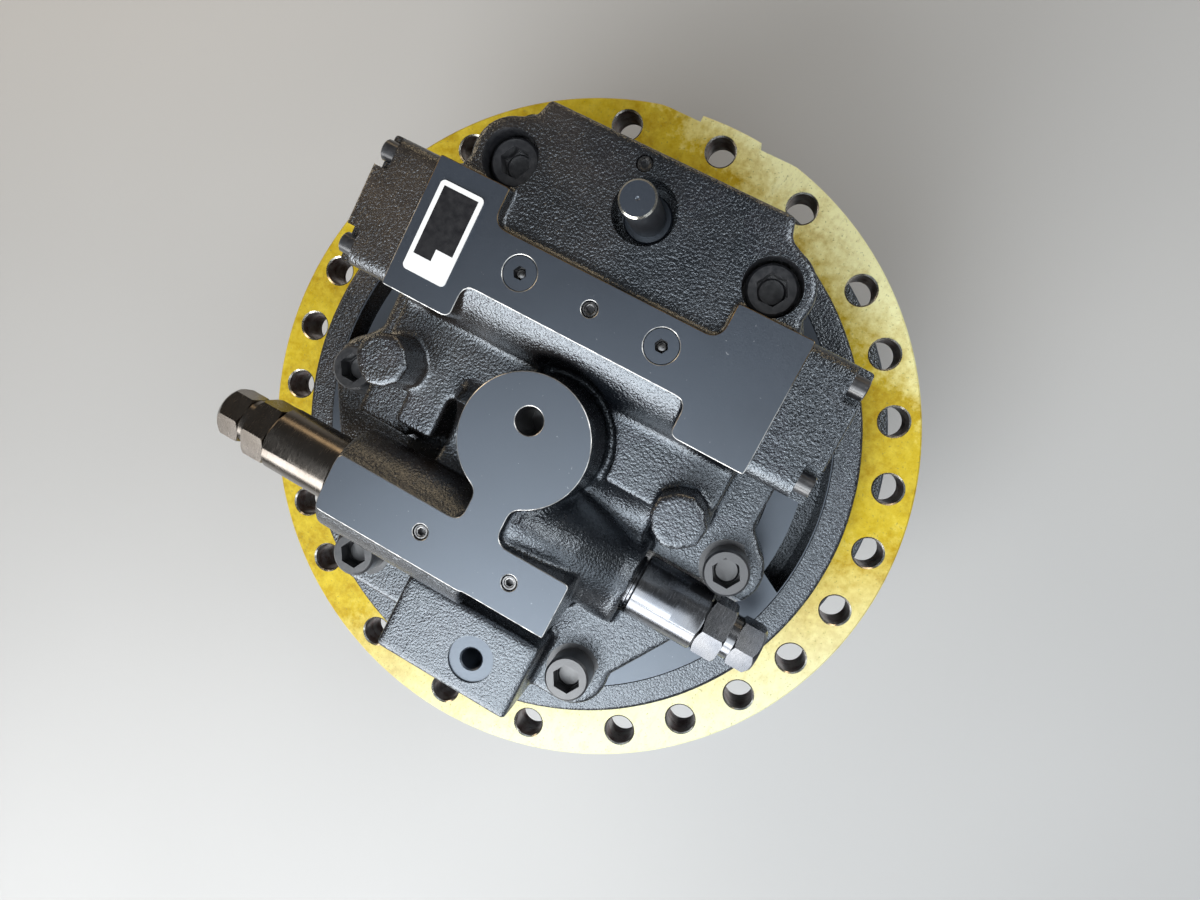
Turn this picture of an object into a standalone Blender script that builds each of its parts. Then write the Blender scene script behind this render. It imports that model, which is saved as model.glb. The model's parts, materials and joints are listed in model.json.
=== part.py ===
"""Excavator final drive: two stage planetary gearbox with its axial piston motor.

The model stands on the flat face of its gear cover. +Z runs up the output axis
to the motor end, and +X runs along the bore of the counterbalance spool.
Heights named "..._RISE" are measured from the face of the frame ring.
"""
import math

import bmesh
import bpy

# Clearances
GAP = 0.0003
OVERRUN = 0.004

# Frame ring and motor case
RING_LEDGE = 0.023
RING_HOLE_MARGIN = 0.019
RING_THICKNESS = 0.030
RING_HOLE_RADIUS = 0.0107
RING_FLAT_DEPTH = 0.006
RING_TAB_WIDTH = 0.047
CASE_OVERHANG = 0.034
CASE_DRAFT = 0.002
CASE_RISE = 0.025
SPINDLE_WALL = 0.030
CAVITY_SPACE = 0.015
CASE_FLOOR_THICKNESS = 0.028
KIDNEY_INSET = 0.032
KIDNEY_WIDTH = 0.020
KIDNEY_DEPTH = 0.017
KIDNEY_SPAN_DEG = 27
KIDNEY_MIDDLE_DEG = 7

# Gear train, one tooth module for both stages
MODULE = 0.0072
SUN_TEETH = 10
PLANET_TEETH = 20
RING_TEETH = 50
PLANETS = 3
BACKLASH = 0.0007
PRESSURE_ANGLE_DEG = 20
ADDENDUM_SHARE = 0.85
DEDENDUM_SHARE = 1.2
STAGE_1_WIDTH = 0.036
STAGE_2_WIDTH = 0.056
STAGE_SPACE = 0.002
CARRIER_1_THICKNESS = 0.012
CARRIER_2_THICKNESS = 0.014
CARRIER_RIM = 0.020
PIN_RADIUS = 0.016
SUN_2_BORE_RADIUS = 0.019
SUN_SHAFT_RADIUS = 0.014

# Gear cover and hub
GEARBOX_WALL = 0.025
COVER_FLANGE_WIDTH = 0.039
COVER_DISH_WIDTH = 0.046
COVER_STEP = 0.006
COVER_RIM_STEP = 0.014
COVER_THICKNESS = 0.016
COVER_SPACE = 0.006
COVER_BOLTS = 14
COVER_BOLT_HEAD_RADIUS = 0.009
COVER_BOLT_HEAD_HEIGHT = 0.010
OIL_PLUG_RADIUS = 0.012
OIL_PLUG_STEM_RADIUS = 0.009
OIL_PLUG_HEAD_HEIGHT = 0.005
OIL_PLUG_DEPTH = 0.010
OIL_PLUG_SOCKET_RADIUS = 0.006
OIL_PLUG_OFFSET = 0.021
HUB_BASE_HEIGHT = 0.025
SPROCKET_FLANGE_WIDTH = 0.041
SPROCKET_FLANGE_THICKNESS = 0.022
SPROCKET_HOLES = 20
SPROCKET_HOLE_MARGIN = 0.018
SPROCKET_HOLE_RADIUS = 0.009
HUB_WALL = 0.022
HUB_RING_SPACE = 0.005

# Main bearings and floating seal
BEARING_WIDTH = 0.028
RACE_THICKNESS = 0.013
ROLLER_SPACE = 0.021
BEARING_SPREAD = 0.034
ROLLERS = 12
ROLLER_LENGTH_SHARE = 0.72
ROLLER_FILL_SHARE = 0.60
ROLLER_WEB_SHARE = 0.25
SEAL_STEP = 0.012
SEAL_WIDTH = 0.024
SEAL_RING_HEIGHT = 0.0075
SEAL_LIP = 0.004

# Motor inside the case
SHAFT_RADIUS = 0.020
SHAFT_COLLAR_RADIUS = 0.026
BLOCK_RIM = 0.011
BLOCK_HEIGHT = 0.066
PISTONS = 9
PISTON_CIRCLE = 0.050
PISTON_RADIUS = 0.009
PISTON_LENGTH = 0.046
SLIPPER_RADIUS = 0.013
SLIPPER_HEIGHT = 0.004
RETAINER_THICKNESS = 0.004
VALVE_PLATE_THICKNESS = 0.008
VALVE_SLOT_WIDTH = 0.010
VALVE_SLOT_SPAN_DEG = 55
SHAFT_BEARING_RADIUS = 0.032
SHAFT_BEARING_WIDTH = 0.018
SWASH_RIM = 0.004
SWASH_THICKNESS = 0.012
SWASH_ANGLE_DEG = 12
SWASH_BORE_RADIUS = 0.030
SWASH_LUG_RADIUS = 0.034
SWASH_LUG_PLACE = 0.036
SWASH_LUG_WIDTH = 0.024
CRADLE_HALF_WIDTH = 0.037
CRADLE_DEPTH = 0.024
TILT_PISTON_INSET = 0.014
TILT_PISTON_RADIUS = 0.008
TILT_PISTON_SINK = 0.016
BRAKE_DISC_WIDTH = 0.028
BRAKE_DISC_THICKNESS = 0.003
BRAKE_PISTON_HEIGHT = 0.022
BRAKE_SPRING_HEIGHT = 0.0055
BRAKE_SPRING_THICKNESS = 0.0015

# Rear flange: heights over the frame ring face, and steps down from its milled face
FACE_RISE = 0.150
SEAT_RISE = 0.070
PLATE_STEP = 0.009
SHELF_STEP = 0.032
PAD_STEP = 0.040
RIGHT_WEB_STEP = 0.062
LEFT_WEB_STEP = 0.036
BOSS_FOOT_STEP = 0.055
MOAT_STEP = 0.050
BOLT_X = (0.0847, 0.1420, 0.0846)
BOLT_Y = (0.1413, -0.0220, -0.1360)
BOLT_PAD_RADIUS = 0.0245
BASE_SIDE_X = 0.145
BASE_SIDE_LOW_Y = 0.010
BOLT_RADIUS = 0.010
BOLT_HEAD_RADIUS = 0.015
BOLT_HEAD_HEIGHT = 0.020
BOLT_LENGTH = 0.075
BOLT_SOCKET_RADIUS = 0.0098
BOLT_SOCKET_DEPTH = 0.012
TOP_SEAT_DEPTH = 0.030
TOP_SEAT_RADIUS = 0.0172
PLATE_HALF_WIDTH = 0.078
PLATE_TOP_Y = 0.181

# Spool block, its covers and the counterbalance spool
SPOOL_Y = 0.084
SPOOL_DEPTH = 0.042
SPOOL_CAST_RADIUS = 0.046
SPOOL_BLOCK_HALF_LENGTH = 0.1165
SPOOL_BLOCK_LOW_Y = 0.0425
SPOOL_BLOCK_HIGH_Y = 0.1245
SPOOL_COLUMN_X = 0.0755
SPOOL_BAR_HIGH_Y = 0.102
SPOOL_BORE_RADIUS = 0.0178
SPOOL_LAND_RADIUS = 0.0174
SPOOL_GROOVE_RADIUS = 0.012
SPOOL_STROKE = 0.007
COVER_LENGTH = 0.040
COVER_EDGE = 0.009
COVER_HEIGHT = 0.0765
COVER_DROP = 0.002
COVER_CHAMBER_RADIUS = 0.024
COVER_CHAMBER_DEPTH = 0.028
CORNER_NOTCH = 0.011
CORNER_NOTCH_LENGTH = 0.010
CORNER_BOLT_RADIUS = 0.0065
CORNER_BOLT_INSET = 0.0069
SPRING_RADIUS = 0.0150
SPRING_WIRE = 0.0018
SPRING_TURNS = 3
SPRING_STEPS_PER_TURN = 8
SPOOL_STEPS = 6
NAMEPLATE_LENGTH = 0.056
NAMEPLATE_WIDTH = 0.029
NAMEPLATE_X = -0.0975
NAMEPLATE_Y = 0.0845
NAMEPLATE_THICKNESS = 0.0008

# Disc, neck and relief valve block
DISC_RADIUS = 0.0405
NECK_HALF_WIDTH = 0.0120
POCKET_FILLET = 0.008
VALVE_BLOCK_LEFT = -0.0955
VALVE_BLOCK_RIGHT = 0.063
VALVE_BLOCK_HIGH_Y = -0.0615
VALVE_BLOCK_LOW_Y = -0.097
LEFT_VALVE_Y = -0.0793
LEFT_VALVE_DEPTH = 0.030
LEFT_CAST_RADIUS = 0.0348
RIGHT_VALVE_Y = -0.0596
RIGHT_VALVE_DEPTH = 0.075
RIGHT_CAST_RADIUS = 0.0310
RIGHT_CAST_END = 0.089
RIGHT_CAST_TOP_SHARE = 0.98
RIGHT_CAST_FLOOR_SHARE = 0.9
CAST_SHELF_LEFT_Y = -0.034
CAST_SHELF_RIGHT_Y = -0.0035
CAST_SHELF_STEP_X = -0.062
SHELF_BACK_STEP_X = -0.089
SHOULDER_REACH = 0.046
SHOULDER_HEIGHT = 0.060
SHOULDER_STEPS = 5
WEB_LEFT_X = -0.055
WEB_RIGHT_X = 0.012
MOAT_WIDTH = 0.0075
MOAT_START_DEG = -12
MOAT_END_DEG = 112
BOSS_FOOT_LEFT_X = -0.1245
BOSS_FOOT_LOW_Y = -0.045
BOSS_X = 0.100
BOSS_Y = 0.002
BOSS_RADIUS = 0.0165
BOSS_DRAFT = 0.003
DRAIN_PAD_LEFT = -0.037
DRAIN_PAD_RIGHT = 0.062
DRAIN_PAD_LOW_Y = -0.174
DRAIN_PAD_HIGH_Y = -0.119
DRAIN_X = 0.025
DRAIN_Y = -0.149
DRAIN_FACE_RADIUS = 0.0155
DRAIN_FACE_DEPTH = 0.0015
DRAIN_BORE_RADIUS = 0.007
DRAIN_BORE_DEPTH = 0.030
DISC_PORT_X = -0.002
DISC_PORT_Y = 0.012
DISC_PORT_RADIUS = 0.0087
DISC_PORT_DEPTH = 0.040
MAIN_PORT_X = 0.038
MAIN_PORT_DROP = 0.059
MAIN_PORT_RADIUS = 0.0125
MAIN_PORT_DEPTH = 0.030
MAIN_PORT_BOLT_ACROSS = 0.0524
MAIN_PORT_BOLT_UP = 0.0262
MAIN_PORT_BOLT_RADIUS = 0.005
MAIN_PORT_BOLT_DEPTH = 0.020

# Relief valves
VALVE_BODY_RADIUS = 0.0215
VALVE_BODY_LENGTH = 0.055
VALVE_THREAD_RADIUS = 0.0160
VALVE_THREAD_LENGTH = 0.045
VALVE_NECK_RADIUS = 0.0185
VALVE_NECK_LENGTH = 0.006
VALVE_FLAT_LENGTH = 0.020
VALVE_FLAT_DEPTH = 0.0022
LOCKNUT_LENGTH = 0.017
LOCKNUT_RADIUS = 0.0215
ADJUSTER_NECK_RADIUS = 0.0150
ADJUSTER_NECK_LENGTH = 0.006
ADJUSTER_HEX_RADIUS = 0.0175
ADJUSTER_LENGTH = 0.017
ADJUSTER_CHAMFER = 0.0035
FLAT_UP_DEG = 30

# Plugs and the pin in the top plate
GAUGE_PLUG_X = 0.046
GAUGE_PLUG_Y = 0.0845
GAUGE_PLUG_RADIUS = 0.0102
GAUGE_PLUG_SINK = 0.0008
PLUG_DEPTH = 0.011
PLUG_SOCKET_SHARE = 0.43
PLUG_SOCKET_DEPTH_SHARE = 0.5
PIN_X = 0.001
PIN_Y = 0.147
PIN_PLUG_RADIUS = 0.0107
PIN_PLUG_COLLAR_RADIUS = 0.0145
PIN_PLUG_COLLAR_HEIGHT = 0.005
PIN_PLUG_REACH = 0.030
PIN_PLUG_EDGE = 0.0009
PIN_SEAT_RADIUS = 0.0192
PIN_SEAT_DEPTH = 0.022

# How finely round shapes are cut
ROUND_LARGE = 32
ROUND_MEDIUM = 16
ROUND_SMALL = 12
ROUND_HOLE = 8
ROUND_TINY = 6

# Radii, from the motor's pistons outwards and from the gear teeth outwards
BLOCK_RADIUS = PISTON_CIRCLE + PISTON_RADIUS + BLOCK_RIM
CAVITY_RADIUS = BLOCK_RADIUS + CAVITY_SPACE
BRAKE_CAVITY_RADIUS = BLOCK_RADIUS + BRAKE_DISC_WIDTH
SWASH_RADIUS = BLOCK_RADIUS + SWASH_RIM
TILT_PISTON_Y = TILT_PISTON_INSET - SWASH_RADIUS
SPINDLE_RADIUS = CAVITY_RADIUS + SPINDLE_WALL
BEARING_OUTER_RADIUS = SPINDLE_RADIUS + 2 * RACE_THICKNESS + ROLLER_SPACE
SEAL_OUTER_RADIUS = BEARING_OUTER_RADIUS + SEAL_STEP
SPINDLE_SHOULDER_RADIUS = SEAL_OUTER_RADIUS - SEAL_WIDTH
HUB_NECK_RADIUS = SEAL_OUTER_RADIUS + HUB_WALL
CASE_RADIUS = SEAL_OUTER_RADIUS + CASE_OVERHANG
KIDNEY_CIRCLE = CASE_RADIUS - KIDNEY_INSET
RING_HOLE_CIRCLE = CASE_RADIUS + RING_LEDGE
RING_RADIUS = RING_HOLE_CIRCLE + RING_HOLE_MARGIN
RING_FLAT_DISTANCE = RING_RADIUS - RING_FLAT_DEPTH
GEARBOX_RADIUS = RING_TEETH * MODULE / 2 + GEARBOX_WALL
COVER_RIM_RADIUS = GEARBOX_RADIUS - COVER_FLANGE_WIDTH
COVER_FACE_RADIUS = COVER_RIM_RADIUS - COVER_DISH_WIDTH
OIL_PLUG_CIRCLE = COVER_FACE_RADIUS + OIL_PLUG_OFFSET
SPROCKET_FLANGE_RADIUS = GEARBOX_RADIUS + SPROCKET_FLANGE_WIDTH
SPROCKET_HOLE_CIRCLE = SPROCKET_FLANGE_RADIUS - SPROCKET_HOLE_MARGIN
MOAT_RADIUS = DISC_RADIUS + MOAT_WIDTH

# Heights over the frame ring face
PLATE_RISE = FACE_RISE - PLATE_STEP
CAST_RISE = FACE_RISE - SHELF_STEP
PAD_RISE = FACE_RISE - PAD_STEP
SPOOL_RISE = FACE_RISE - SPOOL_DEPTH
LEFT_VALVE_RISE = FACE_RISE - LEFT_VALVE_DEPTH
RIGHT_VALVE_RISE = FACE_RISE - RIGHT_VALVE_DEPTH
COVER_HIGH_RISE = FACE_RISE - COVER_DROP
COVER_LOW_RISE = COVER_HIGH_RISE - COVER_HEIGHT
MAIN_PORT_RISE = PLATE_RISE - MAIN_PORT_DROP
PIN_PLUG_TOP_RISE = PLATE_RISE + PIN_PLUG_REACH

# Heights up the output axis, from the cover face
RING_GEAR_BOTTOM = COVER_RIM_STEP + COVER_THICKNESS
STAGE_1_BOTTOM = RING_GEAR_BOTTOM + COVER_SPACE
STAGE_1_TOP = STAGE_1_BOTTOM + STAGE_1_WIDTH
CARRIER_1_BOTTOM = STAGE_1_TOP + STAGE_SPACE
CARRIER_1_TOP = CARRIER_1_BOTTOM + CARRIER_1_THICKNESS
STAGE_2_BOTTOM = CARRIER_1_TOP + STAGE_SPACE
STAGE_2_TOP = STAGE_2_BOTTOM + STAGE_2_WIDTH
CARRIER_2_BOTTOM = STAGE_2_TOP + STAGE_SPACE
CARRIER_2_TOP = CARRIER_2_BOTTOM + CARRIER_2_THICKNESS
RING_GEAR_TOP = CARRIER_2_BOTTOM
SPINDLE_END = CARRIER_2_TOP + GAP
HUB_BOTTOM = RING_GEAR_TOP + GAP
SPROCKET_FACE = HUB_BOTTOM + HUB_BASE_HEIGHT
BEARING_1_BOTTOM = SPINDLE_END + STAGE_SPACE
BEARING_2_BOTTOM = BEARING_1_BOTTOM + BEARING_WIDTH + BEARING_SPREAD
BEARING_2_TOP = BEARING_2_BOTTOM + BEARING_WIDTH
SEAL_BOTTOM = BEARING_2_TOP + SEAL_LIP
SEAL_TOP = SEAL_BOTTOM + 2 * SEAL_RING_HEIGHT + GAP
RING_BOTTOM = SEAL_TOP + SEAL_LIP
RING_FACE = RING_BOTTOM + RING_THICKNESS
CASE_TOP = RING_FACE + CASE_RISE
FLANGE_BOTTOM = CASE_TOP + GAP
CAVITY_FLOOR = SPINDLE_END + CASE_FLOOR_THICKNESS
VALVE_PLATE_BOTTOM = CASE_TOP - VALVE_PLATE_THICKNESS
BLOCK_TOP = VALVE_PLATE_BOTTOM - GAP
BLOCK_BOTTOM = BLOCK_TOP - BLOCK_HEIGHT
SLIPPER_BOTTOM = BLOCK_BOTTOM - SLIPPER_HEIGHT - 2 * RETAINER_THICKNESS
SHAFT_END = FLANGE_BOTTOM + SHAFT_BEARING_WIDTH
SWASH_PIVOT = SLIPPER_BOTTOM - 2 * GAP - SWASH_RADIUS * math.sin(math.radians(SWASH_ANGLE_DEG))
BRAKE_SPRING_BOTTOM = CASE_TOP - BRAKE_SPRING_HEIGHT
BRAKE_PISTON_TOP = BRAKE_SPRING_BOTTOM - GAP
BRAKE_PISTON_BOTTOM = BRAKE_PISTON_TOP - BRAKE_PISTON_HEIGHT
BRAKE_STACK_BOTTOM = BRAKE_PISTON_BOTTOM - 3 * (BRAKE_DISC_THICKNESS + GAP)
PLANET_CIRCLE = (SUN_TEETH + PLANET_TEETH) * MODULE / 2


def finish(name, colour, roughness, metallic):
    """A plain Principled surface for one kind of finish."""
    material = bpy.data.materials.get(name)
    if material is None:
        material = bpy.data.materials.new(name)
        material.use_nodes = True
        shader = material.node_tree.nodes["Principled BSDF"]
        shader.inputs["Base Color"].default_value = (*colour, 1)
        shader.inputs["Roughness"].default_value = roughness
        shader.inputs["Metallic"].default_value = metallic
    return material


def black_paint():
    return finish("black_paint", (0.030, 0.031, 0.034), 0.38, 0.0)


def ring_steel():
    return finish("ring_steel", (0.78, 0.66, 0.20), 0.35, 0.9)


def machined_steel():
    return finish("machined_steel", (0.46, 0.46, 0.47), 0.32, 1.0)


def dark_steel():
    return finish("dark_steel", (0.10, 0.10, 0.11), 0.30, 0.9)


def bronze():
    return finish("bronze", (0.52, 0.34, 0.16), 0.35, 0.9)


def plate_white():
    return finish("plate_white", (0.86, 0.86, 0.84), 0.45, 0.0)


def mesh_object(name, points, faces, material):
    """One object from points and faces, with its faces turned outwards."""
    mesh = bpy.data.meshes.new(name)
    mesh.from_pydata(points, [], faces)
    work = bmesh.new()
    work.from_mesh(mesh)
    bmesh.ops.recalc_face_normals(work, faces=work.faces)
    work.to_mesh(mesh)
    work.free()
    mesh.materials.append(material)
    obj = bpy.data.objects.new(name, mesh)
    bpy.context.collection.objects.link(obj)
    return obj


def shade_round(obj, angle_deg=32):
    obj.data.shade_smooth()
    obj.data.set_sharp_from_angle(angle=math.radians(angle_deg))
    return obj


def lathe(name, profile, segments, material):
    """Turn a closed (radius, height) profile about Z. Points on the axis become poles."""
    points = []
    rings = []
    for radius, height in profile:
        if radius == 0:
            rings.append([len(points)])
            points.append((0, 0, height))
            continue
        rings.append(list(range(len(points), len(points) + segments)))
        for step in range(segments):
            angle = 2 * math.pi * step / segments
            points.append((radius * math.cos(angle), radius * math.sin(angle), height))
    faces = []
    for index, ring in enumerate(rings):
        following = rings[(index + 1) % len(rings)]
        for step in range(segments):
            after = (step + 1) % segments
            corners = [ring[step % len(ring)], ring[after % len(ring)],
                       following[after % len(following)], following[step % len(following)]]
            corners = list(dict.fromkeys(corners))
            if len(corners) > 2:
                faces.append(corners)
    return shade_round(mesh_object(name, points, faces, material))


def prism(name, outline, bottom, top, material, top_outline=None):
    """Raise a closed outline from bottom to top; a second outline gives the walls a draft."""
    upper = top_outline or outline
    count = len(outline)
    points = [(x, y, bottom) for x, y in outline] + [(x, y, top) for x, y in upper]
    faces = [list(range(count)), list(range(count, 2 * count))]
    for index in range(count):
        after = (index + 1) % count
        faces.append([index, after, count + after, count + index])
    return shade_round(mesh_object(name, points, faces, material))


def prism_along_x(name, section, start, end, material, end_section=None):
    """Raise a closed outline in Y and Z from one X to another; a second outline tapers it."""
    count = len(section)
    points = [(start, y, z) for y, z in section] + [(end, y, z) for y, z in end_section or section]
    faces = [list(range(count)), list(range(count, 2 * count))]
    for index in range(count):
        after = (index + 1) % count
        faces.append([index, after, count + after, count + index])
    return shade_round(mesh_object(name, points, faces, material))


def arc(centre, radius, start_deg, end_deg, steps):
    """Points along an arc, both ends included."""
    angles = [math.radians(start_deg + (end_deg - start_deg) * step / steps) for step in range(steps + 1)]
    return [(centre[0] + radius * math.cos(angle), centre[1] + radius * math.sin(angle)) for angle in angles]


def circle(centre, radius, segments, start_deg=0):
    return arc(centre, radius, start_deg, start_deg + 360, segments)[:-1]


def box(name, low, high, material):
    outline = [(low[0], low[1]), (high[0], low[1]), (high[0], high[1]), (low[0], high[1])]
    return prism(name, outline, low[2], high[2], material)


def rod(name, centre, radius, bottom, top, segments, material, top_radius=None, start_deg=0):
    upper = circle(centre, top_radius, segments, start_deg) if top_radius else None
    return prism(name, circle(centre, radius, segments, start_deg), bottom, top, material, upper)


def turning_bore(radius, segments):
    """Radius of a faceted bore whose flats still clear what turns inside it."""
    return (radius + GAP) / math.cos(math.pi / segments)


def moved(obj, x, y):
    """Shift a turned piece to its own axis, with its place kept in its mesh."""
    for vertex in obj.data.vertices:
        vertex.co.x += x
        vertex.co.y += y
    return obj


def lay_along_x(obj, y, z, direction=1):
    """Turn a piece made along +Z to lie along X through the height z, seen along +X or -X."""
    for vertex in obj.data.vertices:
        along, across, up = vertex.co.z, vertex.co.y, vertex.co.x
        vertex.co = (direction * along, y + across, z - direction * up)
    obj.data.update()
    return obj


def turn_outwards(obj):
    work = bmesh.new()
    work.from_mesh(obj.data)
    bmesh.ops.recalc_face_normals(work, faces=work.faces)
    work.to_mesh(obj.data)
    work.free()
    return obj


def combine(target, operation, others):
    """Add or take away other solids with live booleans; the others become guides."""
    for other in others:
        modifier = target.modifiers.new(other.name, "BOOLEAN")
        modifier.operation = operation
        modifier.solver = "EXACT"
        modifier.object = other
        other.hide_render = True
        other.display_type = "WIRE"
    return target


def cut(target, *cutters):
    return combine(target, "DIFFERENCE", cutters)


def join(target, *others):
    return combine(target, "UNION", others)


def grouped(name, objects):
    """Several separate solids in one mesh, so that one boolean takes them all."""
    work = bmesh.new()
    for obj in objects:
        work.from_mesh(obj.data)
        bpy.data.objects.remove(obj)
    mesh = bpy.data.meshes.new(name)
    work.to_mesh(mesh)
    work.free()
    obj = bpy.data.objects.new(name, mesh)
    bpy.context.collection.objects.link(obj)
    return obj


def parent_to(child, parent):
    child.parent = parent
    return child


def ring_hole_angles():
    """The bolt pattern of the frame ring: close pairs of arcs at both sides, wide steps between."""
    side_step = 12
    wide_step = 18
    side = [side_step * (index + 0.5) for index in range(-5, 5)]
    middle = [wide_step * index for index in (-1, 0, 1)]
    return side + [90 + angle for angle in middle] + [180 + angle for angle in side] \
        + [270 + angle for angle in middle]


def kidney(name, middle_deg):
    half = KIDNEY_SPAN_DEG
    outer = arc((0, 0), KIDNEY_CIRCLE + KIDNEY_WIDTH / 2, middle_deg - half, middle_deg + half, 8)
    inner = arc((0, 0), KIDNEY_CIRCLE - KIDNEY_WIDTH / 2, middle_deg + half, middle_deg - half, 8)
    return prism(name, outer + inner, CASE_TOP - KIDNEY_DEPTH, CASE_TOP + OVERRUN, black_paint())


def bolt_places():
    """Centres of the six flange bolts with the height of their seats."""
    top_seat = RING_FACE + PLATE_RISE - TOP_SEAT_DEPTH
    low_seat = RING_FACE + SEAT_RISE
    places = []
    for x, y, seat in zip(BOLT_X, BOLT_Y, (top_seat, low_seat, low_seat)):
        places += [(-x, y, seat), (x, y, seat)]
    return places


def bolt_reach(seat):
    """Lowest point of a bolt: the long top bolts end at the level of the short ones."""
    return RING_FACE + SEAT_RISE - BOLT_LENGTH


def bolt_holes(name):
    rods = []
    for index, (x, y, seat) in enumerate(bolt_places()):
        rods.append(rod(f"{name}_{index}", (x, y), BOLT_RADIUS + GAP, bolt_reach(seat) - GAP,
                        seat + OVERRUN, ROUND_HOLE, black_paint()))
    return grouped(name, rods)


def motor_case():
    """Ring, raised case and spindle, turned in one piece, with the motor's cavity inside."""
    brake_floor = BRAKE_STACK_BOTTOM - GAP
    profile = [
        (SHAFT_BEARING_RADIUS, SPINDLE_END), (SPINDLE_RADIUS, SPINDLE_END),
        (SPINDLE_RADIUS, BEARING_2_TOP + GAP), (SPINDLE_SHOULDER_RADIUS, BEARING_2_TOP + GAP),
        (SPINDLE_SHOULDER_RADIUS, RING_BOTTOM), (RING_RADIUS, RING_BOTTOM),
        (RING_RADIUS, RING_FACE), (CASE_RADIUS, RING_FACE), (CASE_RADIUS - CASE_DRAFT, CASE_TOP),
        (BRAKE_CAVITY_RADIUS, CASE_TOP), (BRAKE_CAVITY_RADIUS, brake_floor),
        (CAVITY_RADIUS, brake_floor), (CAVITY_RADIUS, CAVITY_FLOOR), (SHAFT_BEARING_RADIUS, CAVITY_FLOOR)]
    case = lathe("motor_case", profile, ROUND_LARGE, ring_steel())
    holes = []
    for index, angle in enumerate(ring_hole_angles()):
        place = arc((0, 0), RING_HOLE_CIRCLE, angle, angle, 1)[0]
        holes.append(rod(f"ring_hole_{index}", place, RING_HOLE_RADIUS, RING_BOTTOM - OVERRUN,
                         RING_FACE + OVERRUN, ROUND_HOLE, black_paint(), None, angle + 180 / ROUND_HOLE))
    flats = []
    for side in (-1, 1):
        near = side * RING_TAB_WIDTH / 2
        far = side * RING_RADIUS / 2
        flats.append(box(f"ring_flat_{side}", (min(near, far), RING_FLAT_DISTANCE, RING_BOTTOM - OVERRUN),
                         (max(near, far), RING_RADIUS + OVERRUN, RING_FACE + OVERRUN), black_paint()))
    kidneys = [kidney("kidney_right", KIDNEY_MIDDLE_DEG), kidney("kidney_left", 180 - KIDNEY_MIDDLE_DEG)]
    piston_bore = rod("tilt_piston_bore", (0, TILT_PISTON_Y), TILT_PISTON_RADIUS + GAP,
                      CAVITY_FLOOR - TILT_PISTON_SINK - GAP, CAVITY_FLOOR + OVERRUN, ROUND_SMALL,
                      black_paint())
    join(case, swash_cradles())
    return cut(case, grouped("ring_flats", flats), grouped("ring_holes", holes),
               grouped("kidneys", kidneys), bolt_holes("case_bolt_holes"), piston_bore)


def gear_outline(teeth, phase_deg, grow=0, internal=False):
    """Tooth outline with involute widths at root, pitch circle and tip."""
    pitch = teeth * MODULE / 2
    pressure = math.radians(PRESSURE_ANGLE_DEG)
    base = pitch * math.cos(pressure)
    sign = -1 if internal else 1
    tip = pitch + sign * ADDENDUM_SHARE * MODULE
    root = pitch - sign * DEDENDUM_SHARE * MODULE
    thinning = BACKLASH / 2 / pitch
    half_pitch = math.pi / 2 / teeth - thinning

    def half_angle(radius):
        """Half the tooth's angle at a radius, from the involute function."""
        ratio = min(1, base / radius)
        roll = math.tan(math.acos(ratio)) - math.acos(ratio)
        start = math.tan(pressure) - pressure
        return half_pitch + sign * (start - roll)

    outline = []
    for tooth in range(teeth):
        middle = math.radians(phase_deg) + 2 * math.pi * tooth / teeth
        rising = [(level, middle - half_angle(level)) for level in (root, tip)]
        falling = [(level, middle + half_angle(level)) for level in (tip, root)]
        for radius, angle in rising + falling:
            outline.append(((radius + grow) * math.cos(angle), (radius + grow) * math.sin(angle)))
    return outline


def planet_phase(place_deg):
    """Turn of a planet whose tooth falls in a space of the ring gear at its place."""
    ring_pitch = 360 / RING_TEETH
    offset = round(place_deg / ring_pitch) * ring_pitch - place_deg
    return place_deg + offset * RING_TEETH / PLANET_TEETH


def sun_phase():
    """Turn of the sun that meshes with the planet at place zero."""
    planet_pitch = 360 / PLANET_TEETH
    phase = planet_phase(0)
    offset = phase + round((180 - phase) / planet_pitch) * planet_pitch - 180
    space = -offset * PLANET_TEETH / SUN_TEETH
    return space + 180 / SUN_TEETH


def planet_places():
    return [360 * index / PLANETS for index in range(PLANETS)]


def ring_gear():
    ring_pitch = 360 / RING_TEETH
    body = rod("ring_gear", (0, 0), GEARBOX_RADIUS, RING_GEAR_BOTTOM + GAP, RING_GEAR_TOP,
               ROUND_LARGE, dark_steel())
    space = prism("ring_gear_space", gear_outline(RING_TEETH, ring_pitch / 2, 0, True),
                  RING_GEAR_BOTTOM - OVERRUN, RING_GEAR_TOP + OVERRUN, dark_steel())
    return cut(body, space)


def planet(name, place_deg, bottom, width):
    gear = prism(name, gear_outline(PLANET_TEETH, planet_phase(place_deg)), 0, width, machined_steel())
    bore = rod(f"{name}_bore", (0, 0), turning_bore(PIN_RADIUS, ROUND_SMALL), -OVERRUN,
               width + OVERRUN, ROUND_SMALL, machined_steel())
    centre = arc((0, 0), PLANET_CIRCLE, place_deg, place_deg, 1)[0]
    gear.location = (*centre, bottom)
    parent_to(bore, gear)
    return cut(gear, bore)


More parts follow.
